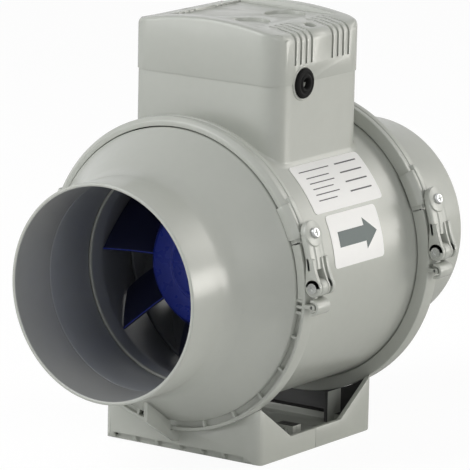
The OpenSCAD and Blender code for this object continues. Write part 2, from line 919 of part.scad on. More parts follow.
module terminal_box_lid() {
    ridge = 34;
    well_x = -29.5;
    color("gainsboro")
        difference() {
            union() {
                difference() {
                    lid_body(0);
                    lid_body(lid_wall);
                }
                intersection() {
                    lid_body(0);
                    block([well_x - 2, -ridge - 2, lid_floor - 3], [37, ridge + 2, lid_top + 2]);
                }
                for (s = [-1, 1]) {
                    translate([s * screw_x, 0, axis_h + lid_joint + 0.2])
                        cylinder(r = 4.6, h = 27);
                }
            }
            block([well_x, -ridge, lid_floor], [40, ridge, lid_top + 2]);
            for (s = [-1, 1], g = [-1, 1], k = [0 : 3]) {
                vent_slot(s, g * (10.2 + 5.3 * k));
            }
            for (y = [-17.3, 17.3]) {
                translate([13, y, axis_h + lid_floor - 1.6])
                    cylinder(r = 11.6, h = 5);
            }
            for (s = [-1, 1]) {
                translate([s * screw_x, 0, axis_h + lid_joint - 1]) {
                    cylinder(r = 1.8, h = 40);
                    translate([0, 0, 26])
                        cylinder(r = 3.6, h = 12);
                }
            }
            translate([box_w / 2 - 8, grommet_y, axis_h + grommet_z])
                rotate([0, 90, 0])
                    cylinder(r = 6.2, h = 12);
        }
}

// One vent slot, up the side wall and over the edge of the roof, on the side s.
module vent_slot(s, y) {
    x0 = s > 0 ? 38 : -60;
    block([x0, y - 0.9, 118], [x0 + 22, y + 0.9, 150]);
    x1 = s > 0 ? [32, 38.5] : [-38.5, -29.3];
    block([x1[0], y - 0.9, 130], [x1[1], y + 0.9, 150]);
}

module lid_screws() {
    color("silver")
        for (s = [-1, 1]) {
            translate([s * screw_x, 0, axis_h + lid_joint]) {
                difference() {
                    translate([0, 0, 25.05])
                        cylinder(r = 3.2, h = 2);
                    translate([0, 0, 27])
                        cube([4.4, 0.8, 1.8], center = true);
                    translate([0, 0, 27])
                        cube([0.8, 4.4, 1.8], center = true);
                }
                translate([0, 0, -12])
                    cylinder(r = 1.45, h = 37.05);
            }
        }
}

// Rubber grommet in the joint between box and lid, with a hole for a round cable.
module cable_grommet() {
    color("black")
        translate([0, grommet_y, axis_h + grommet_z])
            rotate([0, 90, 0])
                rotate_extrude()
                    polygon([
                        [2.8, 44], [8, 44], [8, 47.3], [6.1, 47.3], [6.1, 50.5], [8.5, 50.5],
                        [8.5, 52], [7.6, 53], [4.6, 53.4], [3.6, 52.6], [2.8, 52]
                    ]);
}

// Insulating block on the casing's crown that takes the supply wires.
module terminal_block() {
    color("whitesmoke")
        difference() {
            translate([-30, -9, axis_h + 80.05])
                cube([34, 18, 15]);
            for (i = [0 : 2]) {
                translate([-24.5 + i * 11.5, 0, axis_h + 84]) {
                    cylinder(r = 2.6, h = 20);
                    translate([0, -12, 4])
                        rotate([-90, 0, 0])
                            cylinder(r = 2, h = 24);
                }
            }
        }
}

module terminal_screws() {
    color("silver")
        for (i = [0 : 2]) {
            translate([-24.5 + i * 11.5, 0, axis_h + 90.2])
                difference() {
                    cylinder(r = 2.5, h = 3);
                    translate([0, 0, 3])
                        cube([6, 0.7, 1.6], center = true);
                }
        }
}

module capacitor() {
    color("white")
        translate([24, -20, axis_h + 95])
            rotate([-90, 0, 0]) {
                cylinder(r = 11, h = 40);
                translate([0, 0, 40])
                    cylinder(r = 4, h = 3);
            }
}

// Clip on the casing's crown that carries the capacitor.
module capacitor_clip() {
    color("lightgray")
        difference() {
            translate([24 - 13, -5, axis_h + 70])
                cube([26, 10, 32]);
            on_axis()
                rotate([-90, 0, 0])
                    translate([0, 0, -20])
                        cylinder(r = casing_r + 0.02, h = 40);
            translate([24, -30, axis_h + 95])
                rotate([-90, 0, 0])
                    cylinder(r = 11.02, h = 60);
            translate([24 - 8, -6, axis_h + 94])
                cube([16, 12, 20]);
        }
}

// ---------- labels ----------

// Thin label bent onto the casing: centred at angle mid, w along Y from y0, h around the casing.
module bent_label(mid, y0, w, h, corner, r0, t) {
    intersection() {
        turned()
            translate([r0, y0 - 1])
                square([t, w + 2]);
        on_axis()
            rotate([0, -mid, 0])
                translate([r0 - 12, y0 + w / 2, 0])
                    rotate([0, 90, 0])
                        linear_extrude(20)
                            plain_round_rect(h, w, corner);
    }
}

module rating_label() {
    color("white") bent_label(39.2, -32.5, 67, 30.5, 3, casing_r + 0.02, 0.25);
}

module flow_label() {
    color("white") bent_label(16, -25, 49, 30, 3, casing_r + 0.02, 0.25);
}

// Plain arrow that points the way the air goes.
module flow_arrow() {
    color("darkslategray")
        intersection() {
            turned()
                translate([casing_r + 0.28, -24])
                    square([0.15, 48]);
            on_axis()
                rotate([0, -16.3, 0])
                    translate([casing_r - 12, 0, 0])
                        rotate([90, 0, 90])
                            linear_extrude(20)
                                polygon([
                                    [-18, -4.2], [9, -4.2], [9, -7.4], [18.5, 0], [9, 7.4],
                                    [9, 4.2], [-18, 4.2]
                                ]);
        }
}

inlet_spigot();
outlet_spigot();
inlet_liner();
inlet_stand_half();
outlet_stand_half();
stand_joint_screws();
fan_casing();
terminal_box();
inlet_gasket();
outlet_gasket();
inlet_clamp_band();
outlet_clamp_band();
latch_hinge_pins();
inlet_lever();
outlet_lever();
inlet_catch_link();
outlet_catch_link();
inlet_lock_screw();
outlet_lock_screw();
impeller_shroud();
impeller_hub();
impeller_blades();
impeller_retaining_ring();
motor_shaft();
motor_rotor();
motor_stator();
motor_windings();
motor_housing();
motor_front_cover();
front_bearing();
rear_bearing();
motor_screws();
guide_vane_hub();
guide_vanes();
guide_vane_ring();
terminal_box_lid();
lid_screws();
cable_grommet();
terminal_block();
terminal_screws();
capacitor();
capacitor_clip();
rating_label();
flow_label();
flow_arrow();
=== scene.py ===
# %% [markdown]
# # Inline duct fan
# The object is a fan for round ducts: two flared spigots on a stand, a fan block between them, and
# two clamp bands with toggle latches that hold the block. Nearly all of it is turned about one
# axis, so most pieces here are outlines that are spun about the duct. The frame holds the true
# solids, the joints and the sizes; this script dresses them.

# %% Load the frame
import json
import math

import bmesh
import bpy
from mathutils import Matrix, Vector


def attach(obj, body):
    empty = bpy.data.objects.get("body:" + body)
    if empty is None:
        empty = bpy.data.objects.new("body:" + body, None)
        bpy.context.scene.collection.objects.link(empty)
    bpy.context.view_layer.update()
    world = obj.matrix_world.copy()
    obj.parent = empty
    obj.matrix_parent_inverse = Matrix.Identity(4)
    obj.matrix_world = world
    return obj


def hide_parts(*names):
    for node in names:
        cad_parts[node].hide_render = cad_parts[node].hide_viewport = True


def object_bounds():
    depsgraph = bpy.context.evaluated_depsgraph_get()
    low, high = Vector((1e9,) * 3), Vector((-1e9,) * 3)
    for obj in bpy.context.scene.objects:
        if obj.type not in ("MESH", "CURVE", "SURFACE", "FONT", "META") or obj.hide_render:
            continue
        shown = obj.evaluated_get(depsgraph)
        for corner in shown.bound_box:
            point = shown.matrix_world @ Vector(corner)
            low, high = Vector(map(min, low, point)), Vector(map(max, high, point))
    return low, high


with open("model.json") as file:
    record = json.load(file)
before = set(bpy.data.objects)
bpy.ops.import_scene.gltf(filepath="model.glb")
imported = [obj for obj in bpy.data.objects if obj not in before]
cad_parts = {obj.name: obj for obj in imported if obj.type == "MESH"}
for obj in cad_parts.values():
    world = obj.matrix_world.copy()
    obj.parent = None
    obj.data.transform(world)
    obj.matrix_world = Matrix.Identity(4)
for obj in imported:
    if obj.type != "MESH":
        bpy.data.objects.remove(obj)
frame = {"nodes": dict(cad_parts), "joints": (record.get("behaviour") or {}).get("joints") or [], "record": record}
cad_low, cad_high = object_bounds()
MM = 0.001
spin_joint = next(j for j in frame["joints"] if j["name"] == "impeller_spin")
AXIS_H = spin_joint["pos_m"][2]
print("frame box", [round(v, 4) for v in (*cad_low, *cad_high)], "axis height", AXIS_H)

# %% [markdown]
# ## Shapes in millimetres from the duct axis
# Drawings of round things are easiest to read as a radius and a place along the axis, in
# millimetres. Each helper below returns a small bmesh in those units. A corner of an outline is
# (a, b) or (a, b, rounding): the rounding is made by bevelling that one vertex before the outline
# is spun or extruded, so every round edge of the finished piece is true geometry.

# %% Outlines, turned and extruded
FULL_TURN = 360
CORNER_STEPS = 4


def outline_face(points, place):
    """A flat face through place(a, b) of each corner, with its corners rounded."""
    bm = bmesh.new()
    corners = [bm.verts.new(place(*point[:2])) for point in points]
    bm.faces.new(corners)
    for corner, point in zip(corners, points):
        if len(point) > 2:
            bmesh.ops.bevel(
                bm, geom=[corner], offset=point[2], segments=CORNER_STEPS, profile=0.5,
                affect="VERTICES", material=-1,
            )
    return bm


def turned(points, start=0, stop=FULL_TURN, step=2.5):
    """Corners (radius, y) spun about the duct axis from angle start to stop, X towards Z."""
    bm = outline_face(points, lambda r, y: (r, y, 0))
    whole = stop - start == FULL_TURN
    if whole:
        bmesh.ops.delete(bm, geom=bm.faces[:], context="FACES_ONLY")
    turn = Matrix.Rotation(math.radians(-start), 3, "Y")
    bmesh.ops.rotate(bm, verts=bm.verts[:], cent=(0, 0, 0), matrix=turn)
    bmesh.ops.spin(
        bm, geom=bm.verts[:] + bm.edges[:] + bm.faces[:], cent=(0, 0, 0), axis=(0, -1, 0),
        dvec=(0, 0, 0), angle=math.radians(stop - start),
        steps=max(2, round((stop - start) / step)), use_merge=whole, use_duplicate=False,
    )
    bmesh.ops.remove_doubles(bm, verts=bm.verts[:], dist=1e-4)
    bmesh.ops.recalc_face_normals(bm, faces=bm.faces[:])
    return bm


def extruded(points, axis, low, high):
    """Corners in the plane across axis, extruded along it from low to high."""
    places = {
        "X": lambda a, b: (low, a, b),
        "Y": lambda a, b: (a, low, b),
        "Z": lambda a, b: (a, b, low),
    }
    bm = outline_face(points, places[axis])
    grown = bmesh.ops.extrude_face_region(bm, geom=bm.faces[:])["geom"]
    shift = Vector([high - low if name == axis else 0 for name in "XYZ"])
    moving = [g for g in grown if isinstance(g, bmesh.types.BMVert)]
    bmesh.ops.translate(bm, verts=moving, vec=shift)
    bmesh.ops.recalc_face_normals(bm, faces=bm.faces[:])
    return bm


# %% Bars, blocks, copies and rounding
def rod(centre, axis, radius, low, high, segments=32, rounding=0.0):
    """A round bar along axis from low to high; centre gives its place in the other two."""
    turn = {"X": Matrix.Rotation(math.pi / 2, 4, "Y"), "Y": Matrix.Rotation(-math.pi / 2, 4, "X")}
    middle = list(centre)
    middle.insert("XYZ".index(axis), (low + high) / 2)
    bm = bmesh.new()
    bmesh.ops.create_cone(
        bm, cap_ends=True, segments=segments, radius1=radius, radius2=radius, depth=high - low,
        matrix=Matrix.Translation(middle) @ turn.get(axis, Matrix.Identity(4)),
    )
    return soften(bm, rounding)


def block(low, high, rounding=0.0):
    """A box between two corners."""
    low, high = Vector(low), Vector(high)
    size = Matrix.Diagonal((*(high - low), 1))
    bm = bmesh.new()
    bmesh.ops.create_cube(bm, size=1, matrix=Matrix.Translation((low + high) / 2) @ size)
    return soften(bm, rounding)


def soften(bm, width, angle=30, segments=2):
    """Rounds every edge that is sharper than angle."""
    if width > 0:
        sharp = [e for e in bm.edges if e.is_manifold and e.calc_face_angle() > math.radians(angle)]
        bmesh.ops.bevel(
            bm, geom=sharp, offset=width, segments=segments, profile=0.5, affect="EDGES",
            material=-1, clamp_overlap=True,
        )
    return bm


def moved(bm, matrix):
    """The same shape placed by a matrix; a mirrored one is turned the right way out again."""
    bmesh.ops.transform(bm, matrix=matrix, verts=bm.verts[:])
    if matrix.determinant() < 0:
        bmesh.ops.reverse_faces(bm, faces=bm.faces[:])
    return bm


def joined(*shapes):
    """Several shapes as the closed shells of one bmesh."""
    whole = bmesh.new()
    carrier = bpy.data.meshes.new("carrier")
    for shape in shapes:
        shape.to_mesh(carrier)
        whole.from_mesh(carrier)
        shape.free()
    bpy.data.meshes.remove(carrier)
    return whole


def radial(angle):
    """Turns a shape drawn along +X so that it points outwards at that angle about the axis."""
    return Matrix.Rotation(math.radians(-angle), 4, "Y")


MIRROR_X = Matrix.Diagonal((-1, 1, 1, 1))
MIRROR_Y = Matrix.Diagonal((1, -1, 1, 1))

# %% [markdown]
# ## From shape to piece
# A finished piece has its place in its mesh and its object at the origin. Its faces are smooth
# except across real corners, it rides on one body of the frame, wears one finish, and hides the
# plain solids that it stands for.


# %% Pieces
def piece(name, bm, look, body, *solids, inside=None, crease=32):
    """Turns a bmesh in millimetres from the axis into a dressed object on that body."""
    bmesh.ops.transform(
        bm, matrix=Matrix.Translation((0, 0, AXIS_H)) @ Matrix.Scale(MM, 4), verts=bm.verts[:]
    )
    mesh = bpy.data.meshes.new(name)
    bm.to_mesh(mesh)
    bm.free()
    mesh.shade_smooth()
    mesh.set_sharp_from_angle(angle=math.radians(crease))
    made = bpy.data.objects.new(name, mesh)
    bpy.context.scene.collection.objects.link(made)
    mesh.materials.append(LOOKS[look])
    if inside:
        paint_inside(mesh, *inside)
    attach(made, body)
    if solids:
        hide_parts(*solids)
    print(f"{name}: {len(mesh.polygons)} faces on {body}")
    return made


def paint_inside(mesh, look, radius):
    """Gives the faces that are nearer to the duct axis than radius a finish of their own; in the bore that is a
    darker one, painted shade.
    """
    mesh.materials.append(LOOKS[look])
    for face in mesh.polygons:
        x, _, z = face.center
        if math.hypot(x, z - AXIS_H) < radius * MM:
            face.material_index = 1


def merged_copy(node):
    """A frame solid as a bmesh in millimetres from the axis, with its flat faces merged."""
    bm = bmesh.new()
    bm.from_mesh(frame["nodes"][node].data)
    to_axis = Matrix.Scale(1 / MM, 4) @ Matrix.Translation((0, 0, -AXIS_H))
    bmesh.ops.transform(bm, matrix=to_axis, verts=bm.verts[:])
    bmesh.ops.remove_doubles(bm, verts=bm.verts[:], dist=2e-3)
    bmesh.ops.dissolve_limit(
        bm, angle_limit=math.radians(0.4), verts=bm.verts[:], edges=bm.edges[:]
    )
    return bm


# %% [markdown]
# ## Finishes
# The whole body is one satin moulded plastic. Up close such plastic is never one flat colour: the
# tool leaves a fine spark-eroded grain, the melt cools in faint clouds, and the gloss wanders with
# both. That is one node group with named inputs, used by every plastic with its own numbers. The
# shader itself stays in each material.


# %% Node helpers
def add(tree, kind, sockets=(), **settings):
    """A node with its settings made and its sockets set or linked."""
    made = tree.nodes.new(kind)
    for key, value in settings.items():
        setattr(made, key, value)
    for key, value in dict(sockets).items():
        if isinstance(value, bpy.types.NodeSocket):
            tree.links.new(value, made.inputs[key])
        else:
            made.inputs[key].default_value = value
    return made


def new_group(name, inputs, outputs):
    """An empty node group with its named inputs and outputs, and the two end nodes."""
    tree = bpy.data.node_groups.new(name, "ShaderNodeTree")
    for label, kind, default in inputs:
        socket = tree.interface.new_socket(label, in_out="INPUT", socket_type=kind)
        socket.default_value = default
    for label, kind in outputs:
        tree.interface.new_socket(label, in_out="OUTPUT", socket_type=kind)
    return tree, add(tree, "NodeGroupInput"), add(tree, "NodeGroupOutput")


def noise(tree, where, scale, detail=3.0, rough=0.5):
    """Noise of about 1 / scale metres."""
    sockets = {"Vector": where, "Scale": scale, "Detail": detail, "Roughness": rough}
    return add(tree, "ShaderNodeTexNoise", sockets).outputs["Fac"]


def remap(tree, value, low, high, to_low=0.0, to_high=1.0):
    """A value carried from one range to another, and held at its ends."""
    sockets = {
        "Value": value, "From Min": low, "From Max": high, "To Min": to_low, "To Max": to_high
    }
    return add(tree, "ShaderNodeMapRange", sockets).outputs["Result"]


def blend(tree, amount, first, second):
    """Colour first, or second where amount is 1."""
    mix = add(tree, "ShaderNodeMix", data_type="RGBA")
    for index, value in ((0, amount), (6, first), (7, second)):
        if isinstance(value, bpy.types.NodeSocket):
            tree.links.new(value, mix.inputs[index])
        else:
            mix.inputs[index].default_value = value
    return mix.outputs[2]


def maths(tree, how, first, second):
    """One arithmetic step."""
    return add(tree, "ShaderNodeMath", {0: first, 1: second}, operation=how).outputs[0]


# %% The moulded surface
FLOAT, COLOR = "NodeSocketFloat", "NodeSocketColor"
CLOUD_SCALE = 14.0
MOTTLE_SCALE = 190.0


def moulded_surface():
    """Clouds in the colour, a wandering gloss and a fine grain, as plastic from a steel tool."""
    tree, start, end = new_group(
        "moulded_surface",
        [
            ("Base", COLOR, (0.5, 0.5, 0.5, 1)), ("Cloud", COLOR, (0.45, 0.45, 0.45, 1)),
            ("Gloss", FLOAT, 0.4), ("Wander", FLOAT, 0.08), ("Grain Scale", FLOAT, 1500.0),
        ],
        [("Color", COLOR), ("Roughness", FLOAT), ("Height", FLOAT)],
    )
    where = add(tree, "ShaderNodeTexCoord").outputs["Object"]
    cloud = remap(tree, noise(tree, where, CLOUD_SCALE, 4.0, 0.6), 0.35, 0.68)
    mottle = noise(tree, where, MOTTLE_SCALE, 2.0)
    grain = noise(tree, where, start.outputs["Grain Scale"], 2.0)
    tint = blend(tree, cloud, start.outputs["Base"], start.outputs["Cloud"])
    speck = remap(tree, mottle, 0.3, 0.7, 0.992, 1.008)
    shade = add(tree, "ShaderNodeVectorMath", {0: tint, "Scale": speck}, operation="SCALE")
    swing = remap(tree, mottle, 0.3, 0.7, -1.0, 1.0)
    wander = maths(tree, "MULTIPLY", swing, start.outputs["Wander"])
    tree.links.new(shade.outputs[0], end.inputs["Color"])
    tree.links.new(maths(tree, "ADD", start.outputs["Gloss"], wander), end.inputs["Roughness"])
    tree.links.new(grain, end.inputs["Height"])
    return tree


MOULDED = moulded_surface()
print("group", MOULDED.name, [s.name for s in MOULDED.interface.items_tree])

# %% [markdown]
# Metal parts are turned, drawn or rolled, so their fine lines run one way. A second group stretches
# a noise along one axis for those lines, and darkens the metal a little in soft blotches where it
# has been handled or has dulled.


# %% The worked metal surface
def worked_metal():
    """Fine lines stretched by a vector, and dull blotches."""
    tree, start, end = new_group(
        "worked_metal",
        [
            ("Base", COLOR, (0.6, 0.6, 0.6, 1)), ("Dull", COLOR, (0.4, 0.4, 0.4, 1)),
            ("Stretch", "NodeSocketVector", (1, 0.05, 1)), ("Gloss", FLOAT, 0.3),
        ],
        [("Color", COLOR), ("Roughness", FLOAT), ("Height", FLOAT)],
    )
    where = add(tree, "ShaderNodeTexCoord").outputs["Object"]
    drawn = add(
        tree, "ShaderNodeVectorMath", {0: where, 1: start.outputs["Stretch"]}, operation="MULTIPLY"
    )
    lines = noise(tree, drawn.outputs[0], 2400.0, 3.0, 0.65)
    blotch = remap(tree, noise(tree, where, 160.0, 4.0, 0.6), 0.42, 0.7)
    colour = blend(tree, blotch, start.outputs["Base"], start.outputs["Dull"])
    rough = maths(tree, "ADD", start.outputs["Gloss"], remap(tree, lines, 0.3, 0.7, -0.06, 0.1))
    tree.links.new(colour, end.inputs["Color"])
    tree.links.new(maths(tree, "ADD", rough, remap(tree, blotch, 0, 1, 0, 0.12)),
                   end.inputs["Roughness"])
    tree.links.new(lines, end.inputs["Height"])
    return tree


WORKED = worked_metal()
print("group", WORKED.name, [s.name for s in WORKED.interface.items_tree])


# %% Materials from the two groups
def dressed(name, group, values, relief, metallic=0.0, coat=0.0, specular=0.5):
    """A Principled material that takes colour, roughness and relief from a surface group."""
    made = bpy.data.materials.new(name)
    made.use_nodes = True
    tree = made.node_tree
    shader = tree.nodes["Principled BSDF"]
    surface = add(tree, "ShaderNodeGroup", node_tree=group)
    for key, value in values.items():
        surface.inputs[key].default_value = value
    bump = add(
        tree, "ShaderNodeBump",
        {"Height": surface.outputs["Height"], "Strength": relief, "Distance": 0.0002},
    )
    tree.links.new(surface.outputs["Color"], shader.inputs["Base Color"])
    tree.links.new(surface.outputs["Roughness"], shader.inputs["Roughness"])
    tree.links.new(bump.outputs["Normal"], shader.inputs["Normal"])
    shader.inputs["Metallic"].default_value = metallic
    shader.inputs["Coat Weight"].default_value = coat
    shader.inputs["Specular IOR Level"].default_value = specular
    made.diffuse_color = values["Base"]
    return made


def plastic(name, base, cloud, gloss, grain=1500.0, wander=0.015, relief=0.1, **more):
    """A moulded plastic or rubber."""
    values = {
        "Base": (*base, 1), "Cloud": (*cloud, 1), "Gloss": gloss, "Wander": wander,
        "Grain Scale": grain,
    }
    return dressed(name, MOULDED, values, relief, **more)


def metal(name, base, dull, gloss, stretch=(1, 0.05, 1), relief=0.15):
    """A bare or plated metal."""
    values = {"Base": (*base, 1), "Dull": (*dull, 1), "Gloss": gloss, "Stretch": stretch}
    return dressed(name, WORKED, values, relief, metallic=1.0)


LOOKS = {
    "grey_plastic": plastic("satin_grey", (0.46, 0.475, 0.435), (0.445, 0.46, 0.422), 0.24),
    # Painted shade: the bore wears a darker copy of the grey plastic.
    "bore_painted_shade": plastic("shaded_bore", (0.33, 0.335, 0.33), (0.3, 0.31, 0.31), 0.3),
    "dark_plastic": plastic("sleeve_grey", (0.3, 0.315, 0.33), (0.27, 0.285, 0.3), 0.32),
    # Painted shade: the stand's hollow wears a near-black copy of the grey plastic.
    "stand_painted_shade": plastic("shaded_stand", (0.04, 0.04, 0.038), (0.03, 0.03, 0.03), 0.5),
    "blue_plastic": plastic("impeller_blue", (0.028, 0.05, 0.42), (0.022, 0.04, 0.34), 0.28),
    # Painted shade: the blades wear a near-black copy of the hub's blue; only their front edges keep it.
    "blade_painted_shade": plastic("shaded_blade", (0.022, 0.026, 0.075), (0.018, 0.021, 0.06), 0.36),
    "black_rubber": plastic("grommet_rubber", (0.006, 0.006, 0.006), (0.009, 0.009, 0.009), 0.7,
                            specular=0.12),
    "white_plastic": plastic("terminal_white", (0.72, 0.72, 0.69), (0.66, 0.66, 0.63), 0.42),
    "label_film": plastic("label_film", (0.86, 0.86, 0.85), (0.83, 0.83, 0.82), 0.42, relief=0.03),
    "arrow_ink": plastic("arrow_ink", (0.085, 0.115, 0.112), (0.075, 0.1, 0.098), 0.5, relief=0.03),
    "rule_ink": plastic("rule_ink", (0.06, 0.062, 0.062), (0.08, 0.08, 0.08), 0.55, relief=0.02),
    "zinc_steel": metal("zinc_plated", (0.62, 0.63, 0.62), (0.42, 0.43, 0.43), 0.26),
    "ground_steel": metal("ground_shaft", (0.6, 0.6, 0.6), (0.45, 0.45, 0.45), 0.2, (1, 0.02, 1)),
    "dark_steel": metal("stamped_steel", (0.2, 0.2, 0.21), (0.12, 0.12, 0.13), 0.42, (0.1, 1, 0.1)),
    "copper_wire": metal("enamelled_wire", (0.72, 0.32, 0.14), (0.5, 0.2, 0.09), 0.3, (1, 0.2, 1)),
    "cast_aluminium": metal("cast_alloy", (0.55, 0.56, 0.57), (0.4, 0.41, 0.42), 0.45, (1, 1, 1)),
}
# These three finishes belong to a slot of another name; they are darker copies of the grey and
# blue plastics, painted shade.
print("finishes", sorted(LOOKS))

# %% [markdown]
# ## Spigots
# Each spigot is a straight tube that widens into a cone and ends in a flange. The tube's mouth has
# a soft rolled rim, which is what draws the bright line in the picture. The wall is one closed
# outline, outside and inside, spun right round. The blend from tube to cone is the rounding of a
# single corner of that outline.

# %% Tube and cone
SPIGOT_R = 61.5
WALL = 2.2
MOUTH = cad_high.y / MM
TUBE_END = MOUTH - 34
CONE_R, CONE_END = 82.7, 68.2
FLANGE_FAR, FLANGE_NEAR = 64.4, 62.4
RING_R, RING_IN, RING_OUT = 88.4, 56.8, 67.2
SKIRT_R = RING_R - 2
LIP_R = 81.0
SEAT_R = SPIGOT_R - 0.9


def spigot_wall():
    """The inlet spigot's tube, cone and flange."""
    return turned([
        (SPIGOT_R - WALL, -MOUTH, 0.8), (SPIGOT_R, -MOUTH, 0.9),
        (SPIGOT_R, -TUBE_END, 7.8), (CONE_R, -CONE_END, 0.5), (CONE_R, -FLANGE_NEAR, 0.2),
        (CONE_R - 4.4, -FLANGE_NEAR, 0.2), (CONE_R - 4.4, -CONE_END + 1.6),
        (SPIGOT_R + 2.1, -93), (SEAT_R, -TUBE_END + 2.2), (SEAT_R, -TUBE_END - 2, 0.1),
        (SPIGOT_R - WALL, -TUBE_END - 2, 0.3),
    ], step=1.875)


print("spigot from mouth", round(MOUTH, 2), "to flange", FLANGE_NEAR, "cone radius", CONE_R)

# %% [markdown]
# The lower half of each clamp ring belongs to the spigot. Its outer rim and the cone leave an open
# channel that short ribs cross, and beside each rib the floor of the channel has a small slot. The
# floor is therefore made as separate stretches between the slots.

# %% Lower half ring
SPLIT = 19.6
RING_TOP = SPLIT - 0.5
RIBS = [-16.1, -30.6, -45.2, -60.0, -74.7]
TEETH = [-1.7, -4.1, -6.4]
SLOT = 1.25
FACE_FROM = -1.0


def channel_rib(angle, thick):
    """One rib across the channel."""
    low = (CONE_R - 0.3, -RING_OUT + 0.3, -thick / 2)
    high = (SKIRT_R + 0.4, -FLANGE_FAR + 0.3, thick / 2)
    return moved(block(low, high, 0.18), radial(angle))


def channel_floor(start, stop):
    """A stretch of the channel's floor."""
    return turned([
        (CONE_R - 0.3, -FLANGE_FAR), (SKIRT_R + 0.2, -FLANGE_FAR),
        (SKIRT_R + 0.2, -FLANGE_NEAR), (CONE_R - 0.3, -FLANGE_NEAR),
    ], start, stop)


def filled_face(start, stop):
    """The smooth face that closes the channel next to the latch."""
    return turned([
        (CONE_R + 0.6, -RING_OUT, 0.25), (SKIRT_R + 0.2, -RING_OUT),
        (SKIRT_R + 0.2, -FLANGE_FAR + 0.2), (CONE_R + 0.6, -FLANGE_FAR + 0.2),
    ], start, stop)


def lower_ring():
    """The inlet's lower half ring with its channel, ribs and filled faces."""
    rim = turned([
        (SKIRT_R, -RING_OUT, 0.3), (RING_R, -RING_OUT, 0.6), (RING_R, -RING_IN, 0.6),
        (LIP_R, -RING_IN, 0.3), (LIP_R, -RING_IN - 1.4, 0.3), (SKIRT_R, -RING_IN - 1.4, 0.4),
    ], -180 - RING_TOP, RING_TOP)
    shapes = [rim, filled_face(FACE_FROM, RING_TOP), filled_face(180 - RING_TOP, 180 - FACE_FROM)]
    stops = [RING_TOP, *RIBS, -90]
    for upper, lower in zip(stops, stops[1:]):
        near = upper - SLOT if upper in RIBS else upper
        shapes.append(channel_floor(lower, near))
        shapes.append(channel_floor(-180 - near, -180 - lower))
    for angle in RIBS + TEETH:
        thick = 1.5 if angle in RIBS else 1.7
        shapes.append(channel_rib(angle, thick))
        shapes.append(channel_rib(-180 - angle, thick))
    return joined(*shapes)


print("ribs at", RIBS, "teeth at", TEETH)

# %% [markdown]
# At the right of each ring the latch hooks under a small nose of the lower ring. The two latches are
# not mirrored but shifted, so both noses are placed from the middle of their ring. At the left the
# band only hooks round a bar between two cheeks.

# %% Keepers, hook bars, and the two spigots
RING_MID = (RING_IN + RING_OUT) / 2
LATCH_SHIFT = 1.5
HINGE_X, HINGE_Z = 93.8, 5.8
HOOK_X, HOOK_Z = HINGE_X - 0.3, HINGE_Z - 11


def latch_place(end):
    """Where along the duct the latch of the inlet (-1) or outlet (1) ring sits."""
    return end * RING_MID + LATCH_SHIFT


def keeper(end):
    """The nose at the right that the catch link hooks over."""
    y = latch_place(end)
    bar = rod((HOOK_X, HOOK_Z), "Y", 1.7, y - 7, y + 2, 24, 0.3)
    neck = block((RING_R - 1, y - 7, HOOK_Z - 1.1), (HOOK_X, y + 2, HOOK_Z + 1.1), 0.25)
    return joined(bar, neck)


def hook_bar(end):
    """The bar at the left, between two cheeks."""
    bar = rod((-HINGE_X, HINGE_Z), "Y", 2.2, end * RING_MID - 5, end * RING_MID + 5, 24, 0.2)
    cheeks = []
    for y in (end * RING_MID - 4.3, end * RING_MID + 4.3):
        low = (-HINGE_X - 2.4, y - 0.8, HINGE_Z - 3)
        cheeks.append(block(low, (1 - RING_R, y + 0.8, HINGE_Z + 3), 0.25))
    return joined(bar, *cheeks)


def spigot(end):
    """A whole spigot with its half ring, keeper and hook bar."""
    body = joined(spigot_wall(), lower_ring())
    if end > 0:
        body = moved(body, MIRROR_Y)
    return joined(body, keeper(end), hook_bar(end))


# Inside each spigot the bore is painted darker than the outside: painted shade.
BORE_SHADE_PAINT = ("bore_painted_shade", SPIGOT_R - 1.9)
for name, end in (("inlet", -1), ("outlet", 1)):
    piece(f"{name}_spigot_moulding", spigot(end), "grey_plastic", "fan_body", f"{name}_spigot",
          inside=BORE_SHADE_PAINT)

# %% [markdown]
# ## Sleeve and shroud
# Behind the mouth a thin sleeve carries the air to the impeller, and the shroud starts with a fine
# lip that stands proud of the sleeve. Both edges are only about a millimetre wide, but they are
# the two light arcs inside the mouth, so each gets a rounded edge of its own.

# %% Sleeve, shroud and lip
SHROUD_R = 61.8
SHROUD_WIDE = 74.6
SHROUD_FROM, SHROUD_TO = -50.0, -6.0


def shroud_radius(y):
    """Inner radius of the shroud around the blade tips."""
    widen = (SHROUD_WIDE - SHROUD_R) / (SHROUD_TO - SHROUD_FROM)
    return SHROUD_R + max(0, y - SHROUD_FROM) * widen


sleeve = turned([
    (SPIGOT_R - 2.15, -TUBE_END - 1.9, 0.3), (SPIGOT_R - 1, -TUBE_END - 1.9, 0.3),
    (SPIGOT_R - 1, -TUBE_END + 2), (64.2, -61.3), (63.1, -61.3, 0.2),
    (SPIGOT_R - 2.1, -TUBE_END + 3, 3.0),
])
piece("inlet_sleeve", sleeve, "dark_plastic", "fan_body", "inlet_liner")

shroud = turned([
    (SHROUD_R, -59.6), (63.4, -59.6, 0.2), (63.6, -50), (69.2, -35, 0.5), (77.2, -35, 0.3),
    (77.2, -33, 0.3), (71.1, -33, 0.5), (76.4, -6.2, 0.3), (SHROUD_WIDE, -6.2, 0.3),
    (shroud_radius(-28), -28, 2.0), (SHROUD_R, -50, 2.0),
])
piece("impeller_shroud_moulding", shroud, "dark_plastic", "fan_body", "impeller_shroud")

lip = turned([
    (61.7, -61.15, 0.35), (63.05, -61.15, 0.2), (63.05, -59.4, 0.1), (61.55, -59.4, 0.35),
])
piece("shroud_lip", lip, "grey_plastic", "fan_body")

# %% [markdown]
# ## Impeller
# The hub is a bowl over the motor with a raised ring in its face. The blades are thin curved sheets
# between hub and shroud. A blade starts as a flat grid: one direction of the grid becomes the span
# and the other the chord, each vertex is moved to its place, and solidify gives the sheet its
# thickness.

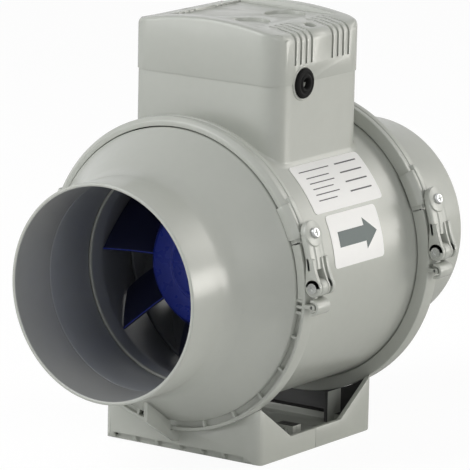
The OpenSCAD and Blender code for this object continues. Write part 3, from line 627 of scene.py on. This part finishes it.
# %% Hub
HUB_NOSE, HUB_BACK = -41.0, -6.0
HUB_WIDE, HUB_DROP = 52.0, 18.8
SHAFT_R = 4.0
HUB_STEPS = 10


def hub_radius(y):
    """Outer radius of the hub."""
    share = (HUB_BACK - max(y, HUB_NOSE)) / (HUB_BACK - HUB_NOSE)
    return HUB_WIDE - HUB_DROP * share ** 1.25


hub_stations = [HUB_NOSE + (HUB_BACK - HUB_NOSE) * i / HUB_STEPS for i in range(HUB_STEPS + 1)]
hub = turned(
    [(SHAFT_R, HUB_NOSE + 3), (9, HUB_NOSE + 3, 0.4), (9, HUB_NOSE, 0.5)]
    + [(18.8, HUB_NOSE, 0.2), (19.3, HUB_NOSE + 0.7, 0.2), (20.3, HUB_NOSE + 0.7, 0.2)]
    + [(20.8, HUB_NOSE, 0.2), (hub_radius(HUB_NOSE), HUB_NOSE, 1.6)]
    + [(hub_radius(y), y) for y in hub_stations[1:]]
    + [(hub_radius(y) - 2, y) for y in reversed(hub_stations[1:])]
    + [(30, HUB_NOSE + 2.4), (9, HUB_NOSE + 5.4), (9, -16), (SHAFT_R, -16)],
    step=3,
)
piece("impeller_hub_moulding", hub, "blue_plastic", "impeller", "impeller_hub")


# %% Blades and vanes from one sheet function
def mix(a, b, t):
    """The value a share t of the way from a to b."""
    return a + (b - a) * t


def curved_sheet(place, thick, span_cells=10, chord_cells=22):
    """A grid whose vertex at span u and chord v is moved to place(u, v), then made solid."""
    bm = bmesh.new()
    bmesh.ops.create_grid(bm, x_segments=span_cells, y_segments=chord_cells, size=0.5)
    for vert in bm.verts:
        vert.co = place(vert.co.x + 0.5, vert.co.y + 0.5)
    bmesh.ops.recalc_face_normals(bm, faces=bm.faces[:])
    bmesh.ops.solidify(bm, geom=bm.faces[:], thickness=thick)
    bmesh.ops.recalc_face_normals(bm, faces=bm.faces[:])
    return soften(bm, thick * 0.3, 60)


def on_cylinder(radius, y, angle):
    """The point at that radius, place along the duct and angle in degrees."""
    turn = math.radians(angle)
    return Vector((radius * math.cos(turn), y, radius * math.sin(turn)))


# %% Impeller blades
BLADES = 8
FIRST_BLADE = 174.5
LEAD_HUB, LEAD_TIP = -40.5, -51.0
BACK_HUB, BACK_TIP = -17, -21.5
SWEEP_HUB, SWEEP_TIP = 29, 18.4
EDGE_DEPTH, EDGE_FACING = 1.5, -0.72


def blade_point(u, v):
    """A point of the blade: hub to tip over u, front to back edge over v."""
    y = mix(mix(LEAD_HUB, LEAD_TIP, u), mix(BACK_HUB, BACK_TIP, u), v)
    radius = mix(hub_radius(y) - 0.9, shroud_radius(y) - 0.8, u)
    return on_cylinder(radius, y, -mix(SWEEP_HUB, SWEEP_TIP, u) * v ** 0.9 + 2 * u * (1 - v))


def paint_leading_edges(made):
    """Gives the thin front edges of the blades the bright blue of the hub; the rest keeps the near-black painted
    shade.
    """
    made.data.materials.append(LOOKS["blue_plastic"])
    for face in made.data.polygons:
        x, y, z = face.center / MM
        radius = math.hypot(x, z - AXIS_H / MM)
        share = (radius - hub_radius(LEAD_HUB)) / (SHROUD_R - hub_radius(LEAD_HUB))
        at_front = y < mix(LEAD_HUB, LEAD_TIP, share) + EDGE_DEPTH
        if at_front and face.normal.y < EDGE_FACING:
            face.material_index = 1


blades = joined(*(
    moved(curved_sheet(blade_point, 1.6), radial(FIRST_BLADE + k * FULL_TURN / BLADES))
    for k in range(BLADES)
))
# The blades' dark navy is painted shade; their front edges get the hub's true blue.
blade_set = piece("impeller_blade_set", blades, "blade_painted_shade", "impeller", "impeller_blades")
paint_leading_edges(blade_set)

# %% [markdown]
# ## Guide vanes
# Behind the impeller a fixed ring of vanes takes the swirl out of the air. It is seen dark between
# the blades from the front, and in full from the back, where its hub closes in a smooth nose.

# %% Guide vane ring
VANES = 11


def vane_point(u, v):
    """A point of a vane: hub to ring over u, front to back over v."""
    return on_cylinder(mix(51.2, 76, u), mix(1, 36, v), 24 * (1 - v) ** 1.8)


vane_hub = turned([
    (36.3, 4.5), (50, 4.5), (50, -3), (52, -3, 0.5), (52, 34, 6), (38, 53, 9), (22, 59, 8), (0, 61),
    (0, 59), (22, 57), (37, 51), (46, 43), (50, 33.5), (50, 8), (36.3, 8),
], step=3)
vane_ring = turned([(75.2, -3, 0.5), (77.2, -3, 0.5), (77.2, 38, 0.5), (75.2, 38, 0.5)])
vanes = [
    moved(curved_sheet(vane_point, 1.6), radial(15 + k * FULL_TURN / VANES)) for k in range(VANES)
]
piece("guide_vane_moulding", joined(vane_hub, vane_ring, *vanes), "dark_plastic", "fan_body",
      "guide_vane_hub", "guide_vanes", "guide_vane_ring")

# %% [markdown]
# ## Fan casing
# The casing is a plain drum between two flanges, and the walls of the terminal box grow out of its
# crown. They are moulded together, so a soft fillet joins them. The box starts as one rounded
# outline. Its edge is extruded downwards ring by ring, and each new ring is moved to follow the
# drum's curve and to flare outwards along a quarter circle.

# %% Drum and terminal box walls
CASING_R, CASING_WALL = 80.0, 2.6
DRUM_FLANGE_R = 84.0
BOX_W, BOX_L, BOX_CORNER = 100.0, 86.0, 12.0
LID_JOINT = 107.6
FILLET = 2.2
FILLET_STEPS = 6


def drum():
    """The casing's drum with its two flanges."""
    inner, near, far = CASING_R - CASING_WALL, 58.6, 60.6
    return turned([
        (inner, -far, 0.3), (DRUM_FLANGE_R, -far, 0.4), (DRUM_FLANGE_R, -near, 0.4),
        (CASING_R, -near, 0.8), (CASING_R, near, 0.8), (DRUM_FLANGE_R, near, 0.4),
        (DRUM_FLANGE_R, far, 0.4), (inner, far, 0.3),
    ], step=1.875)


def box_outline(x, y, out):
    """The point of the box's rounded outline next to (x, y), moved straight out by out."""
    half_w, half_l = BOX_W / 2 - BOX_CORNER, BOX_L / 2 - BOX_CORNER
    core = Vector((max(-half_w, min(half_w, x)), max(-half_l, min(half_l, y)), 0))
    away = (Vector((x, y, 0)) - core).normalized()
    return core + away * (BOX_CORNER + out)


def box_walls():
    """The terminal box's walls, flared into the drum by a fillet."""
    w, l, r = BOX_W / 2, BOX_L / 2, BOX_CORNER
    corners = [(-w, -l, r), (w, -l, r), (w, l, r), (-w, l, r)]
    bm = outline_face(corners, lambda x, y: (x, y, LID_JOINT - 0.1))
    bmesh.ops.delete(bm, geom=bm.faces[:], context="FACES_ONLY")
    sides = [e for e in bm.edges if e.calc_length() > 2 * r]
    bmesh.ops.subdivide_edges(bm, edges=sides, cuts=15)
    arc = [math.pi / 2 * i / FILLET_STEPS for i in range(FILLET_STEPS + 1)]
    flare = [(FILLET * (1 - math.cos(t)), FILLET * (1 - math.sin(t))) for t in arc]
    edge = bm.edges[:]
    for out, height in [*flare, (FILLET, -0.8)]:
        grown = bmesh.ops.extrude_edge_only(bm, edges=edge)["geom"]
        edge = [g for g in grown if isinstance(g, bmesh.types.BMEdge)]
        for vert in [g for g in grown if isinstance(g, bmesh.types.BMVert)]:
            place = box_outline(vert.co.x, vert.co.y, out)
            place.z = math.sqrt(CASING_R ** 2 - place.x ** 2) + height
            vert.co = place
    bmesh.ops.recalc_face_normals(bm, faces=bm.faces[:])
    bmesh.ops.solidify(bm, geom=bm.faces[:], thickness=2.0)
    return bm


# %% Lid posts, grommet collar, and the whole casing
SCREW_X = 41.6
GROMMET_Y, GROMMET_Z = -18.0, 107.4


def lid_post(side):
    """The post under a lid screw."""
    return rod((side * SCREW_X, 0), "Z", 4, CASING_R - 14, LID_JOINT - 0.6, 24)


def side_ring(points):
    """Corners (radius, x) spun about the grommet's own axis."""
    spun = turned(points, step=7.5)
    lay = Matrix.Rotation(-math.pi / 2, 4, "Z")
    return moved(spun, Matrix.Translation((0, GROMMET_Y, GROMMET_Z)) @ lay)


collar = side_ring([(8.7, 49.6), (10.0, 49.6), (9.9, 50.5, 0.3), (9.1, 50.9, 0.3), (8.7, 50.6, 0.1)])
casing = joined(drum(), box_walls(), lid_post(1), lid_post(-1), collar)
piece("fan_casing_moulding", casing, "grey_plastic", "fan_body", "fan_casing", "terminal_box")

# %% [markdown]
# ## Terminal box lid
# The lid is crowned, its middle is sunk between two ridges, and slots run up its sides and over the
# edge. The frame's solid already has every one of those cuts at its true place, so a merged copy
# of it is taken. Its front and rear top edges carry no slots and get a wide rounding that runs into
# the corners; every other sharp edge gets a narrow one.


# %% Lid
LID_ROUNDING = 2.2


def lid_top_edges(bm):
    """The convex edges between the lid's roof and its outer wall, beyond the ends of the slots."""
    found = []
    for edge in bm.edges:
        if not edge.is_manifold or edge.calc_face_angle_signed() < math.radians(25):
            continue
        wall, roof = sorted(edge.link_faces, key=lambda face: face.normal.z)
        middle = (edge.verts[0].co + edge.verts[1].co) / 2
        outer = wall.normal.x * middle.x + wall.normal.y * middle.y > 0
        beyond = min(abs(vert.co.y) for vert in edge.verts) > BOX_L / 2 - BOX_CORNER + 0.5
        if abs(wall.normal.z) < 0.1 and roof.normal.z > 0.5 and outer and beyond:
            found.append(edge)
    return found


lid = merged_copy("terminal_box_lid")
wide = lid_top_edges(lid)
bmesh.ops.bevel(
    lid, geom=wide, offset=LID_ROUNDING, segments=5, profile=0.5, affect="EDGES", material=-1,
    clamp_overlap=False,
)
print("lid edges rounded widely:", len(wide))
piece("terminal_lid_moulding", soften(lid, 0.35), "grey_plastic", "fan_body", "terminal_box_lid")

grommet = side_ring([
    (2.8, 44), (8, 44), (8, 47.3), (6.1, 47.3), (6.1, 50.5), (8.5, 50.5, 0.3), (8.5, 52.2, 0.9),
    (6.6, 52.9, 0.4), (6.0, 52.5, 0.3), (5.2, 52.5, 0.3), (4.6, 53.3, 0.5), (3.4, 53.0, 0.5),
    (2.8, 51.6, 0.6),
])
piece("cable_grommet_ring", grommet, "black_rubber", "fan_body", "cable_grommet")

# %% [markdown]
# ## Clamp bands
# A band covers the upper half of each ring. Its outline has a lip towards the duct, a bevelled face
# and a raised back edge, and it is spun only over the arc that it covers. Its right end is thicker,
# with a flap that reaches over the near face, a slot beside it, and a tail that carries the hinge
# eye. Its left end is plain, and its tail ends in an open hook.

# %% Band arch
BAND_FRONT_R = 83.3
BAND_TAIL_R = RING_R + 0.4
EYE_R = 5.0
LATCH_TOP = 21.4


def band_arch():
    """The band's outline over its whole arc, drawn for the inlet."""
    return turned([
        (SKIRT_R, -RING_OUT + 1.6), (BAND_FRONT_R, -RING_OUT + 1.6, 0.2),
        (BAND_FRONT_R, -RING_OUT, 0.35), (86.2, -RING_OUT, 0.4), (RING_R, -RING_OUT + 2.1, 0.5),
        (RING_R, -61.4, 0.25), (RING_R - 0.45, -61.1, 0.2), (RING_R - 0.45, -60.1, 0.2),
        (RING_R, -59.8, 0.25), (RING_R, -RING_IN, 0.6), (LIP_R, -RING_IN, 0.3),
        (LIP_R, -RING_IN - 1.4, 0.3), (SKIRT_R, -RING_IN - 1.4, 0.4),
    ], SPLIT, 180 - SPLIT)


print("band arch from", SPLIT, "to", 180 - SPLIT, "degrees")


# %% Band ends
def band_end(end):
    """The thick end of a band on the right side: block, flap, rivets, tail and eye."""
    near = -RING_OUT if end < 0 else RING_IN
    far = -RING_IN if end < 0 else RING_OUT
    flap_r = 82.6 if end < 0 else 81.4
    y = latch_place(end)
    housing = turned([
        (SKIRT_R - 1.4, near + 1.6), (RING_R + 1.6, near + 4.4, 0.3), (RING_R + 1.6, far - 2.2, 0.8),
        (RING_R, far - 0.4, 0.4), (SKIRT_R - 1.4, far - 0.4),
    ], SPLIT, 36)
    flap = turned([
        (flap_r, near - 0.5, 0.2), (flap_r + 0.4, near - 1.4, 0.3), (RING_R - 1.6, near - 1.4, 0.6),
        (RING_R + 1.6, near + 1.0, 0.6), (RING_R + 1.6, near + 3.4, 0.3), (RING_R - 0.4, near + 3.4),
        (RING_R - 0.4, near + 0.6), (SKIRT_R - 1, near + 0.2),
    ], 21.0, 34)
    foot = turned([
        (SKIRT_R - 1.4, near - 0.2, 0.3), (RING_R + 0.9, near + 1.4, 0.5),
        (RING_R + 0.9, near + 4.6, 0.4), (SKIRT_R - 1.4, near + 4.6),
    ], SPLIT, 21.2)
    tail = turned([
        (BAND_TAIL_R, y - 4.7, 0.4), (BAND_TAIL_R + 2.2, y - 4.7, 0.5),
        (BAND_TAIL_R + 2.2, y + 0.5, 0.5), (BAND_TAIL_R, y + 0.5, 0.4),
    ], 5, SPLIT + 0.5)
    eye = rod((HINGE_X, HINGE_Z), "Y", EYE_R, y - 4.9, y + 0.7, 40, 0.4)
    rivet = moved(
        rod((near + 1.9, 0), "X", 0.8, RING_R + 0.8, RING_R + 2.1, 16, 0.3), radial(22.6)
    )
    return joined(soften(housing, 0.3), soften(flap, 0.3), soften(foot, 0.3), tail, eye, rivet)


def band_hook(end):
    """The plain left end, drawn at the right: a tail with a hook that is open at 45 degrees."""
    y = end * RING_MID
    housing = turned([
        (SKIRT_R - 1.4, y - 4), (RING_R + 1.4, y - 4, 0.5), (RING_R + 1.4, y + 4, 0.5),
        (SKIRT_R - 1.4, y + 4),
    ], SPLIT + 0.2, 25)
    tail = turned([
        (BAND_TAIL_R, y - 3, 0.4), (BAND_TAIL_R + 2.2, y - 3, 0.5),
        (BAND_TAIL_R + 2.2, y + 3, 0.5), (BAND_TAIL_R, y + 3, 0.4),
    ], 5, SPLIT + 0.8)
    centre = Vector((HINGE_X, HINGE_Z))
    curl = [centre + EYE_R * bearing(a) for a in range(73, 378, 8)]
    curl += [centre + 2.5 * bearing(a) for a in range(335, 114, -10)]
    return joined(soften(housing, 0.3), tail, soften(extruded(curl, "Y", y - 3.2, y + 3.2), 0.2))


def bearing(angle):
    """One step in the XZ plane at that angle, from X towards Z."""
    return Vector((math.cos(math.radians(angle)), math.sin(math.radians(angle))))


def clamp_band(end):
    """A whole clamp band."""
    arch = band_arch() if end < 0 else moved(band_arch(), MIRROR_Y)
    return joined(arch, band_end(end), moved(band_hook(end), MIRROR_X))


for name, end in (("inlet", -1), ("outlet", 1)):
    piece(f"{name}_band", clamp_band(end), "grey_plastic", "fan_body", f"{name}_clamp_band")

# %% [markdown]
# ## Latches
# Each latch is a curved lever hinged on the band's eye. Its free end is a round boss that a screw
# locks down. The catch link hangs in the lever and hooks under the keeper. Both latches are the same
# moulding, drawn once in the middle of the duct and shifted to their ring.

# %% Lever
LEVER_HALF = 7.6
LEVER_IN = BAND_TAIL_R + 2.6
LEVER_OUT = BAND_TAIL_R + 5.6


def boss_rod(radius, low, high, rounding, segments=40):
    """A round bar that points outwards at the angle of the lever's free end."""
    return moved(rod((0, 0), "X", radius, low, high, segments, rounding), radial(LATCH_TOP))


def cheek(low, high):
    """A side wall of the lever with its share of the hinge barrel."""
    side = extruded([
        (HINGE_X - 5, HINGE_Z), (HINGE_X + 5, HINGE_Z, 0.6), (HINGE_X + 1.2, HINGE_Z + 9, 2),
        (HINGE_X - 0.6, HINGE_Z + 16, 0.6), (HINGE_X - 4.9, HINGE_Z + 16),
        (HINGE_X - 4.9, HINGE_Z + 8),
    ], "Y", low, high)
    barrel = rod((HINGE_X, HINGE_Z), "Y", EYE_R, low, high, 40, 0.4)
    return joined(soften(side, 0.3), barrel)


def lever():
    """The lever, drawn at the middle of the duct."""
    w = LEVER_HALF
    plate = turned([
        (LEVER_IN, -w, 0.3), (LEVER_OUT - 0.5, -w, 0.9), (LEVER_OUT, -w + 2.6, 0.8),
        (LEVER_OUT, -2.9, 0.3), (LEVER_OUT + 0.6, -2.1, 0.3), (LEVER_OUT + 0.6, 2.1, 0.3),
        (LEVER_OUT, 2.9, 0.3), (LEVER_OUT, w - 2.6, 0.8), (LEVER_OUT - 0.5, w, 0.9),
        (LEVER_IN, w, 0.3),
    ], 9.5, LATCH_TOP)
    disc = boss_rod(7.4, LEVER_IN, LEVER_OUT + 0.9, 0.7)
    return joined(plate, disc, cheek(-w, -5.1), cheek(0.9, 2.5), cheek(4.9, w))


# %% Catch link and lock screw
def catch_link():
    """The link's arm, its cross pin and the hollow hook bar under the keeper."""
    bx, bz = HINGE_X - 3.5, HINGE_Z + 9
    arm = extruded([
        (bx - 1.5, bz), (bx + 1.5, bz), (bx + 1.5, HOOK_Z + 5.4, 0.5), (HOOK_X + 3, HOOK_Z + 3),
        (HOOK_X - 1.2, HOOK_Z + 2.4), (bx - 1.5, HOOK_Z + 4.6, 0.5),
    ], "Y", 2.8, 4.6)
    eye = rod((bx, bz), "Y", 2.2, 2.8, 4.6, 24, 0.3)
    pin = rod((bx, bz), "Y", 1.1, 1.1, 6.4, 20, 0.2)
    hook = turned([(3, -8, 0.3), (4.4, -8, 0.5), (4.4, 4.6, 0.5), (3, 4.6, 0.1)], -104, 104, 8)
    web = turned([(0.2, 2.8), (3.4, 2.8), (3.4, 4.6, 0.1), (0.2, 4.6)], -70, 104, 8)
    bar = moved(joined(soften(hook, 0.25, 60), web), Matrix.Translation((HOOK_X, 0, HOOK_Z)))
    return joined(soften(arm, 0.3), eye, pin, bar)


def cross_screw(radius, head, shank_r, shank, segments=24):
    """A domed screw with a cross recess, its head on z = 0 and its shank below."""
    bm = bmesh.new()
    arm, half = radius * 0.62, radius * 0.14
    plus = [(arm, -half), (arm, half), (half, half), (half, arm), (-half, arm), (-half, half)]
    plus += [(-x, -y) for x, y in plus]
    levels = [(radius, 0), (radius, head * 0.35), (radius * 0.94, head * 0.7), (radius * 0.78, head)]
    rim = bmesh.ops.create_circle(bm, segments=segments, radius=shank_r)["verts"]
    edge = bm.edges[:]
    bmesh.ops.translate(bm, verts=rim, vec=(0, 0, -shank))
    bmesh.ops.contextual_create(bm, geom=edge)
    for r, z in [(shank_r, 0), *levels]:
        grown = bmesh.ops.extrude_edge_only(bm, edges=edge)["geom"]
        edge = [g for g in grown if isinstance(g, bmesh.types.BMEdge)]
        for vert in [g for g in grown if isinstance(g, bmesh.types.BMVert)]:
            flat = Vector((vert.co.x, vert.co.y, 0)).normalized() * r
            vert.co = (flat.x, flat.y, z)
    corners = [bm.verts.new((x, y, head)) for x, y in plus]
    recess = [bm.edges.new(pair) for pair in zip(corners, corners[1:] + corners[:1])]
    bmesh.ops.bridge_loops(bm, edges=edge + recess)
    grown = bmesh.ops.extrude_edge_only(bm, edges=recess)["geom"]
    bottom = [g for g in grown if isinstance(g, bmesh.types.BMVert)]
    for vert in bottom:
        vert.co = (vert.co.x * 0.6, vert.co.y * 0.6, head * 0.25)
    bmesh.ops.contextual_create(bm, geom=[g for g in grown if isinstance(g, bmesh.types.BMEdge)])
    bmesh.ops.recalc_face_normals(bm, faces=bm.faces[:])
    return bm


def pointing_x(bm):
    """A shape drawn along Z, laid along X."""
    return moved(bm, Matrix.Rotation(math.pi / 2, 4, "Y"))


# %% Both latches
def lock_screw():
    """The screw in the lever's free end."""
    head_at = LEVER_OUT + 0.95
    screw = pointing_x(cross_screw(3.1, 1.9, 1.5, head_at - RING_R + 3))
    return moved(screw, radial(LATCH_TOP) @ Matrix.Translation((head_at, 0, 0)))


for name, end in (("inlet", -1), ("outlet", 1)):
    place = Matrix.Translation((0, latch_place(end), 0))
    latch, catch = f"{name}_latch", f"{name}_catch"
    piece(f"{latch}_lever", moved(lever(), place), "grey_plastic", latch, f"{name}_lever")
    piece(f"{latch}_screw", moved(lock_screw(), place), "zinc_steel", latch, f"{name}_lock_screw")
    piece(f"{name}_hook_link", moved(catch_link(), place), "grey_plastic", catch,
          f"{name}_catch_link")

# %% [markdown]
# ## Stand
# The stand is a thin tray in two halves with a window in each side, pockets along its foot and a rib
# under each cone. As with the lid, the frame's solids carry all of these cuts, so merged copies of
# them are rounded.

# %% Stand halves
STAND_X, STAND_Y = 53.0, 60.0
STAND_SKIN = 2.4
FOOT_TOP = 6.0


def paint_hollow_shade(made):
    """Gives the faces that look into the stand's hollow, above its foot, a near-black finish: painted shade."""
    made.data.materials.append(LOOKS["stand_painted_shade"])
    for face in made.data.polygons:
        x, y, z = face.center / MM
        within = abs(x) < STAND_X - STAND_SKIN and abs(y) < STAND_Y - STAND_SKIN and z > FOOT_TOP
        if within and face.normal.x * x + face.normal.y * y < 1e-3:
            face.material_index = 1


for name in ("inlet", "outlet"):
    stand = piece(f"{name}_stand_moulding", soften(merged_copy(f"{name}_stand_half"), 0.4),
                  "grey_plastic", "fan_body", f"{name}_stand_half")
    paint_hollow_shade(stand)

# %% [markdown]
# ## Lid screws
# Two screws with the same cross recess stand in the lid, on the sunk line between its ridges.

# %% Lid screws
lid_screws = joined(*(
    moved(cross_screw(3.2, 1.9, 1.45, 36), Matrix.Translation((side * SCREW_X, 0, LID_JOINT + 25.1)))
    for side in (-1, 1)
))
piece("lid_screw_pair", lid_screws, "zinc_steel", "fan_body", "lid_screws")

# %% [markdown]
# ## Labels
# The labels are thin films bent round the drum. A film is a grid in the plane that is rolled on to a
# cylinder: one direction is the place along the duct and the other is the arc length. The rating
# label carries plain ruled lines and nothing to read, and the arrow shows which way the air goes.

# %% Films and print
FILM_R = CASING_R + 0.05


def rolled(bm, middle, radius):
    """Rolls a flat shape in the XY plane round the duct: y becomes arc length about middle."""
    for vert in bm.verts:
        along, around, height = vert.co
        angle = middle + math.degrees(around / radius)
        vert.co = on_cylinder(radius + height, along, angle)
    bmesh.ops.recalc_face_normals(bm, faces=bm.faces[:])
    return bm


def film(corners, middle, radius, thick, cuts=10):
    """A thin shape with rounded corners, cut across so that it can bend, and rolled."""
    bm = extruded(corners, "Z", 0, thick)
    low, high = min(c[1] for c in corners), max(c[1] for c in corners)
    for i in range(1, cuts):
        level = low + (high - low) * i / cuts
        bmesh.ops.bisect_plane(
            bm, geom=bm.verts[:] + bm.edges[:] + bm.faces[:], plane_co=(0, level, 0),
            plane_no=(0, 1, 0),
        )
    return rolled(bm, middle, radius)


def panel(y0, y1, half, rounding=0.0):
    """The four corners of a film from y0 to y1 along the duct and half to each side."""
    corners = [(y0, -half), (y1, -half), (y1, half), (y0, half)]
    return [(*c, rounding) for c in corners] if rounding else corners


RATING_AT, RATING_HALF = 39.2, 15.4
FLOW_AT, FLOW_HALF = 16.0, 15.0
piece("rating_film", film(panel(-32.5, 34.5, RATING_HALF, 2.4), RATING_AT, FILM_R, 0.25),
      "label_film", "fan_body", "rating_label")
piece("flow_film", film(panel(-25, 24, FLOW_HALF, 2.4), FLOW_AT, FILM_R, 0.25),
      "label_film", "fan_body", "flow_label")

arrow_outline = [
    (-18, -4.4), (8, -4.4), (8, -8.8), (19.5, 0), (8, 8.8), (8, 4.4), (-18, 4.4),
]
piece("flow_arrow_print", film(arrow_outline, FLOW_AT + 0.3, FILM_R + 0.26, 0.1, 14),
      "arrow_ink", "fan_body", "flow_arrow")

# %% Ruled lines on the rating label
RULES = [
    (-27, 2, 10.6), (-24, -2, 6.0), (-24, 0, 2.4), (-24, -4, -1.2), (-24, -1, -4.8), (-24, -6, -8.4),
]
MARKS = [(8, 29, 10.6), (8, 29, 4.6), (8, 29, -1.4), (8, 29, -7.4)]


def rule(y0, y1, level, thick):
    """A thin printed line along the duct at a level on the rating label."""
    corners = [(y0, level - thick), (y1, level - thick), (y1, level + thick), (y0, level + thick)]
    return film(corners, RATING_AT, FILM_R + 0.26, 0.06, 2)


rules = joined(*[rule(*r, 0.3) for r in RULES], *[rule(*m, 0.42) for m in MARKS])
piece("rating_rules", rules, "rule_ink", "fan_body")

# %% [markdown]
# ## Pieces that keep the frame's own solids
# Motor, bearings, gaskets, terminals and pins are simple turned or stamped parts. Their solids are
# already right, so they only need the finish that their slot names.

# %% Finishes for the remaining solids
slot_of = {part["node"]: part["material_slot"] for part in frame["record"]["subparts"]}
kept = [n for n, o in frame["nodes"].items() if not o.hide_render]
for node_name in kept:
    part = frame["nodes"][node_name]
    part.data.materials.clear()
    part.data.materials.append(LOOKS[slot_of[node_name]])
print(len(kept), "solids kept:", sorted(kept))

# %% [markdown]
# ## Floor, light and camera
# The floor and the backdrop are white to the camera, and plain to the light that reaches the fan.
# The long highlight on the tube is the picture of soft boxes behind it on the right, so those have
# their places worked out from the tube's own reflection.


# %% Floor and world
def white_floor():
    """A pale floor that the camera sees nearly white, with the fan's own shadow."""
    made = bpy.data.materials.new("studio_floor")
    made.use_nodes = True
    tree = made.node_tree
    out = tree.nodes["Material Output"]
    plain = tree.nodes["Principled BSDF"]
    plain.inputs["Roughness"].default_value = 0.9
    where = add(tree, "ShaderNodeTexCoord").outputs["Object"]
    cloud = remap(tree, noise(tree, where, 3.0), 0.3, 0.7)
    tree.links.new(blend(tree, cloud, (0.84, 0.84, 0.84, 1), (0.88, 0.88, 0.88, 1)),
                   plain.inputs["Base Color"])
    glow = add(tree, "ShaderNodeEmission", {"Color": (1, 1, 1, 1), "Strength": 1.05})
    seen = add(tree, "ShaderNodeLightPath").outputs["Is Camera Ray"]
    share = maths(tree, "MULTIPLY", seen, 0.88)
    both = add(tree, "ShaderNodeMixShader", {0: share, 1: plain.outputs[0], 2: glow.outputs[0]})
    tree.links.new(both.outputs[0], out.inputs["Surface"])
    return made


floor_bm = bmesh.new()
bmesh.ops.create_grid(floor_bm, x_segments=2, y_segments=2, size=6)
floor_mesh = bpy.data.meshes.new("floor")
floor_bm.to_mesh(floor_mesh)
floor_mesh.materials.append(white_floor())
floor = bpy.data.objects.new("floor", floor_mesh)
bpy.context.scene.collection.objects.link(floor)

world = bpy.data.worlds.new("studio")
bpy.context.scene.world = world
world.use_nodes = True
sky = world.node_tree
path = add(sky, "ShaderNodeLightPath")
direct = maths(sky, "MAXIMUM", path.outputs["Is Camera Ray"], path.outputs["Is Glossy Ray"])
direct = maths(sky, "MAXIMUM", direct, path.outputs["Is Transmission Ray"])
AMBIENT = 0.26
level = remap(sky, direct, 0, 1, AMBIENT, 1.0)
backdrop = sky.nodes["Background"]
backdrop.inputs["Color"].default_value = (1, 1, 1, 1)
sky.links.new(level, backdrop.inputs["Strength"])
print("ambient", AMBIENT)


# %% Lamps
def soft_box(name, place, aim, size, power, color=(1, 1, 1)):
    """An area light at place, turned towards aim, both in metres."""
    data = bpy.data.lights.new(name, "AREA")
    data.shape = "RECTANGLE"
    data.size, data.size_y = size
    data.energy = power
    data.color = color
    lamp = bpy.data.objects.new(name, data)
    bpy.context.scene.collection.objects.link(lamp)
    lamp.location = place
    lamp.rotation_mode = "QUATERNION"
    lamp.rotation_quaternion = (Vector(aim) - Vector(place)).to_track_quat("-Z", "Y")
    return lamp


CENTRE = (0, 0, AXIS_H)
TUBE_FLANK = (0.061, -0.115, AXIS_H)
WARM = (1, 0.97, 0.92)
LAMPS = [
    ("key", (-0.9, -1.5, 1.7), CENTRE, (1.2, 1.2), 24),
    ("front", (-1.3, -1.7, 0.5), CENTRE, (1.0, 0.8), 8.5),
    ("side", (1.8, -1.0, 0.8), CENTRE, (1.0, 1.0), 8.5),
    ("strip", (1.043, 1.403, 0.62), TUBE_FLANK, (0.7, 1.15), 6, WARM),
    ("strip_low", (1.52, 1.1, 0.27), TUBE_FLANK, (0.7, 0.5), 8, WARM),
    ("strip_high", (0.77, 1.405, 0.995), TUBE_FLANK, (0.5, 0.8), 2, WARM),
]
for lamp_values in LAMPS:
    soft_box(*lamp_values)

# %% [markdown]
# The camera stands where a fit of the picture's mouth, rings and box edges put it: 34.8 degrees
# round from the duct's axis, 11.9 degrees up and rolled by 1.3 degrees, with a long lens.

# %% Camera
AZIMUTH, ELEVATION, ROLL = (math.radians(a) for a in (34.78, 11.893, 1.319))
CAMERA_AT = (1.500046, -2.169106, 0.669654)
IMAGE = 470
FOCAL_PX = 4767.121
CENTRE_PX = (233.853, 236.532)
SENSOR = 36.0

camera_data = bpy.data.cameras.new("camera")
camera_data.sensor_width = SENSOR
camera_data.lens = FOCAL_PX / IMAGE * SENSOR
camera_data.shift_x = (IMAGE / 2 - CENTRE_PX[0]) / IMAGE
camera_data.shift_y = (CENTRE_PX[1] - IMAGE / 2) / IMAGE
camera = bpy.data.objects.new("camera", camera_data)
bpy.context.scene.collection.objects.link(camera)
back = Vector((
    math.sin(AZIMUTH) * math.cos(ELEVATION), -math.cos(AZIMUTH) * math.cos(ELEVATION),
    math.sin(ELEVATION),
))
right = Vector((0, 0, 1)).cross(back).normalized()
up = back.cross(right)
turned_right = right * math.cos(ROLL) + up * math.sin(ROLL)
turned_up = up * math.cos(ROLL) - right * math.sin(ROLL)
axes = Matrix((turned_right, turned_up, back)).transposed().to_4x4()
camera.matrix_world = Matrix.Translation(CAMERA_AT) @ axes
bpy.context.scene.camera = camera
bpy.context.scene.view_settings.view_transform = "Standard"
print("lens", round(camera_data.lens, 2), "mm, shift", round(camera_data.shift_x, 5))
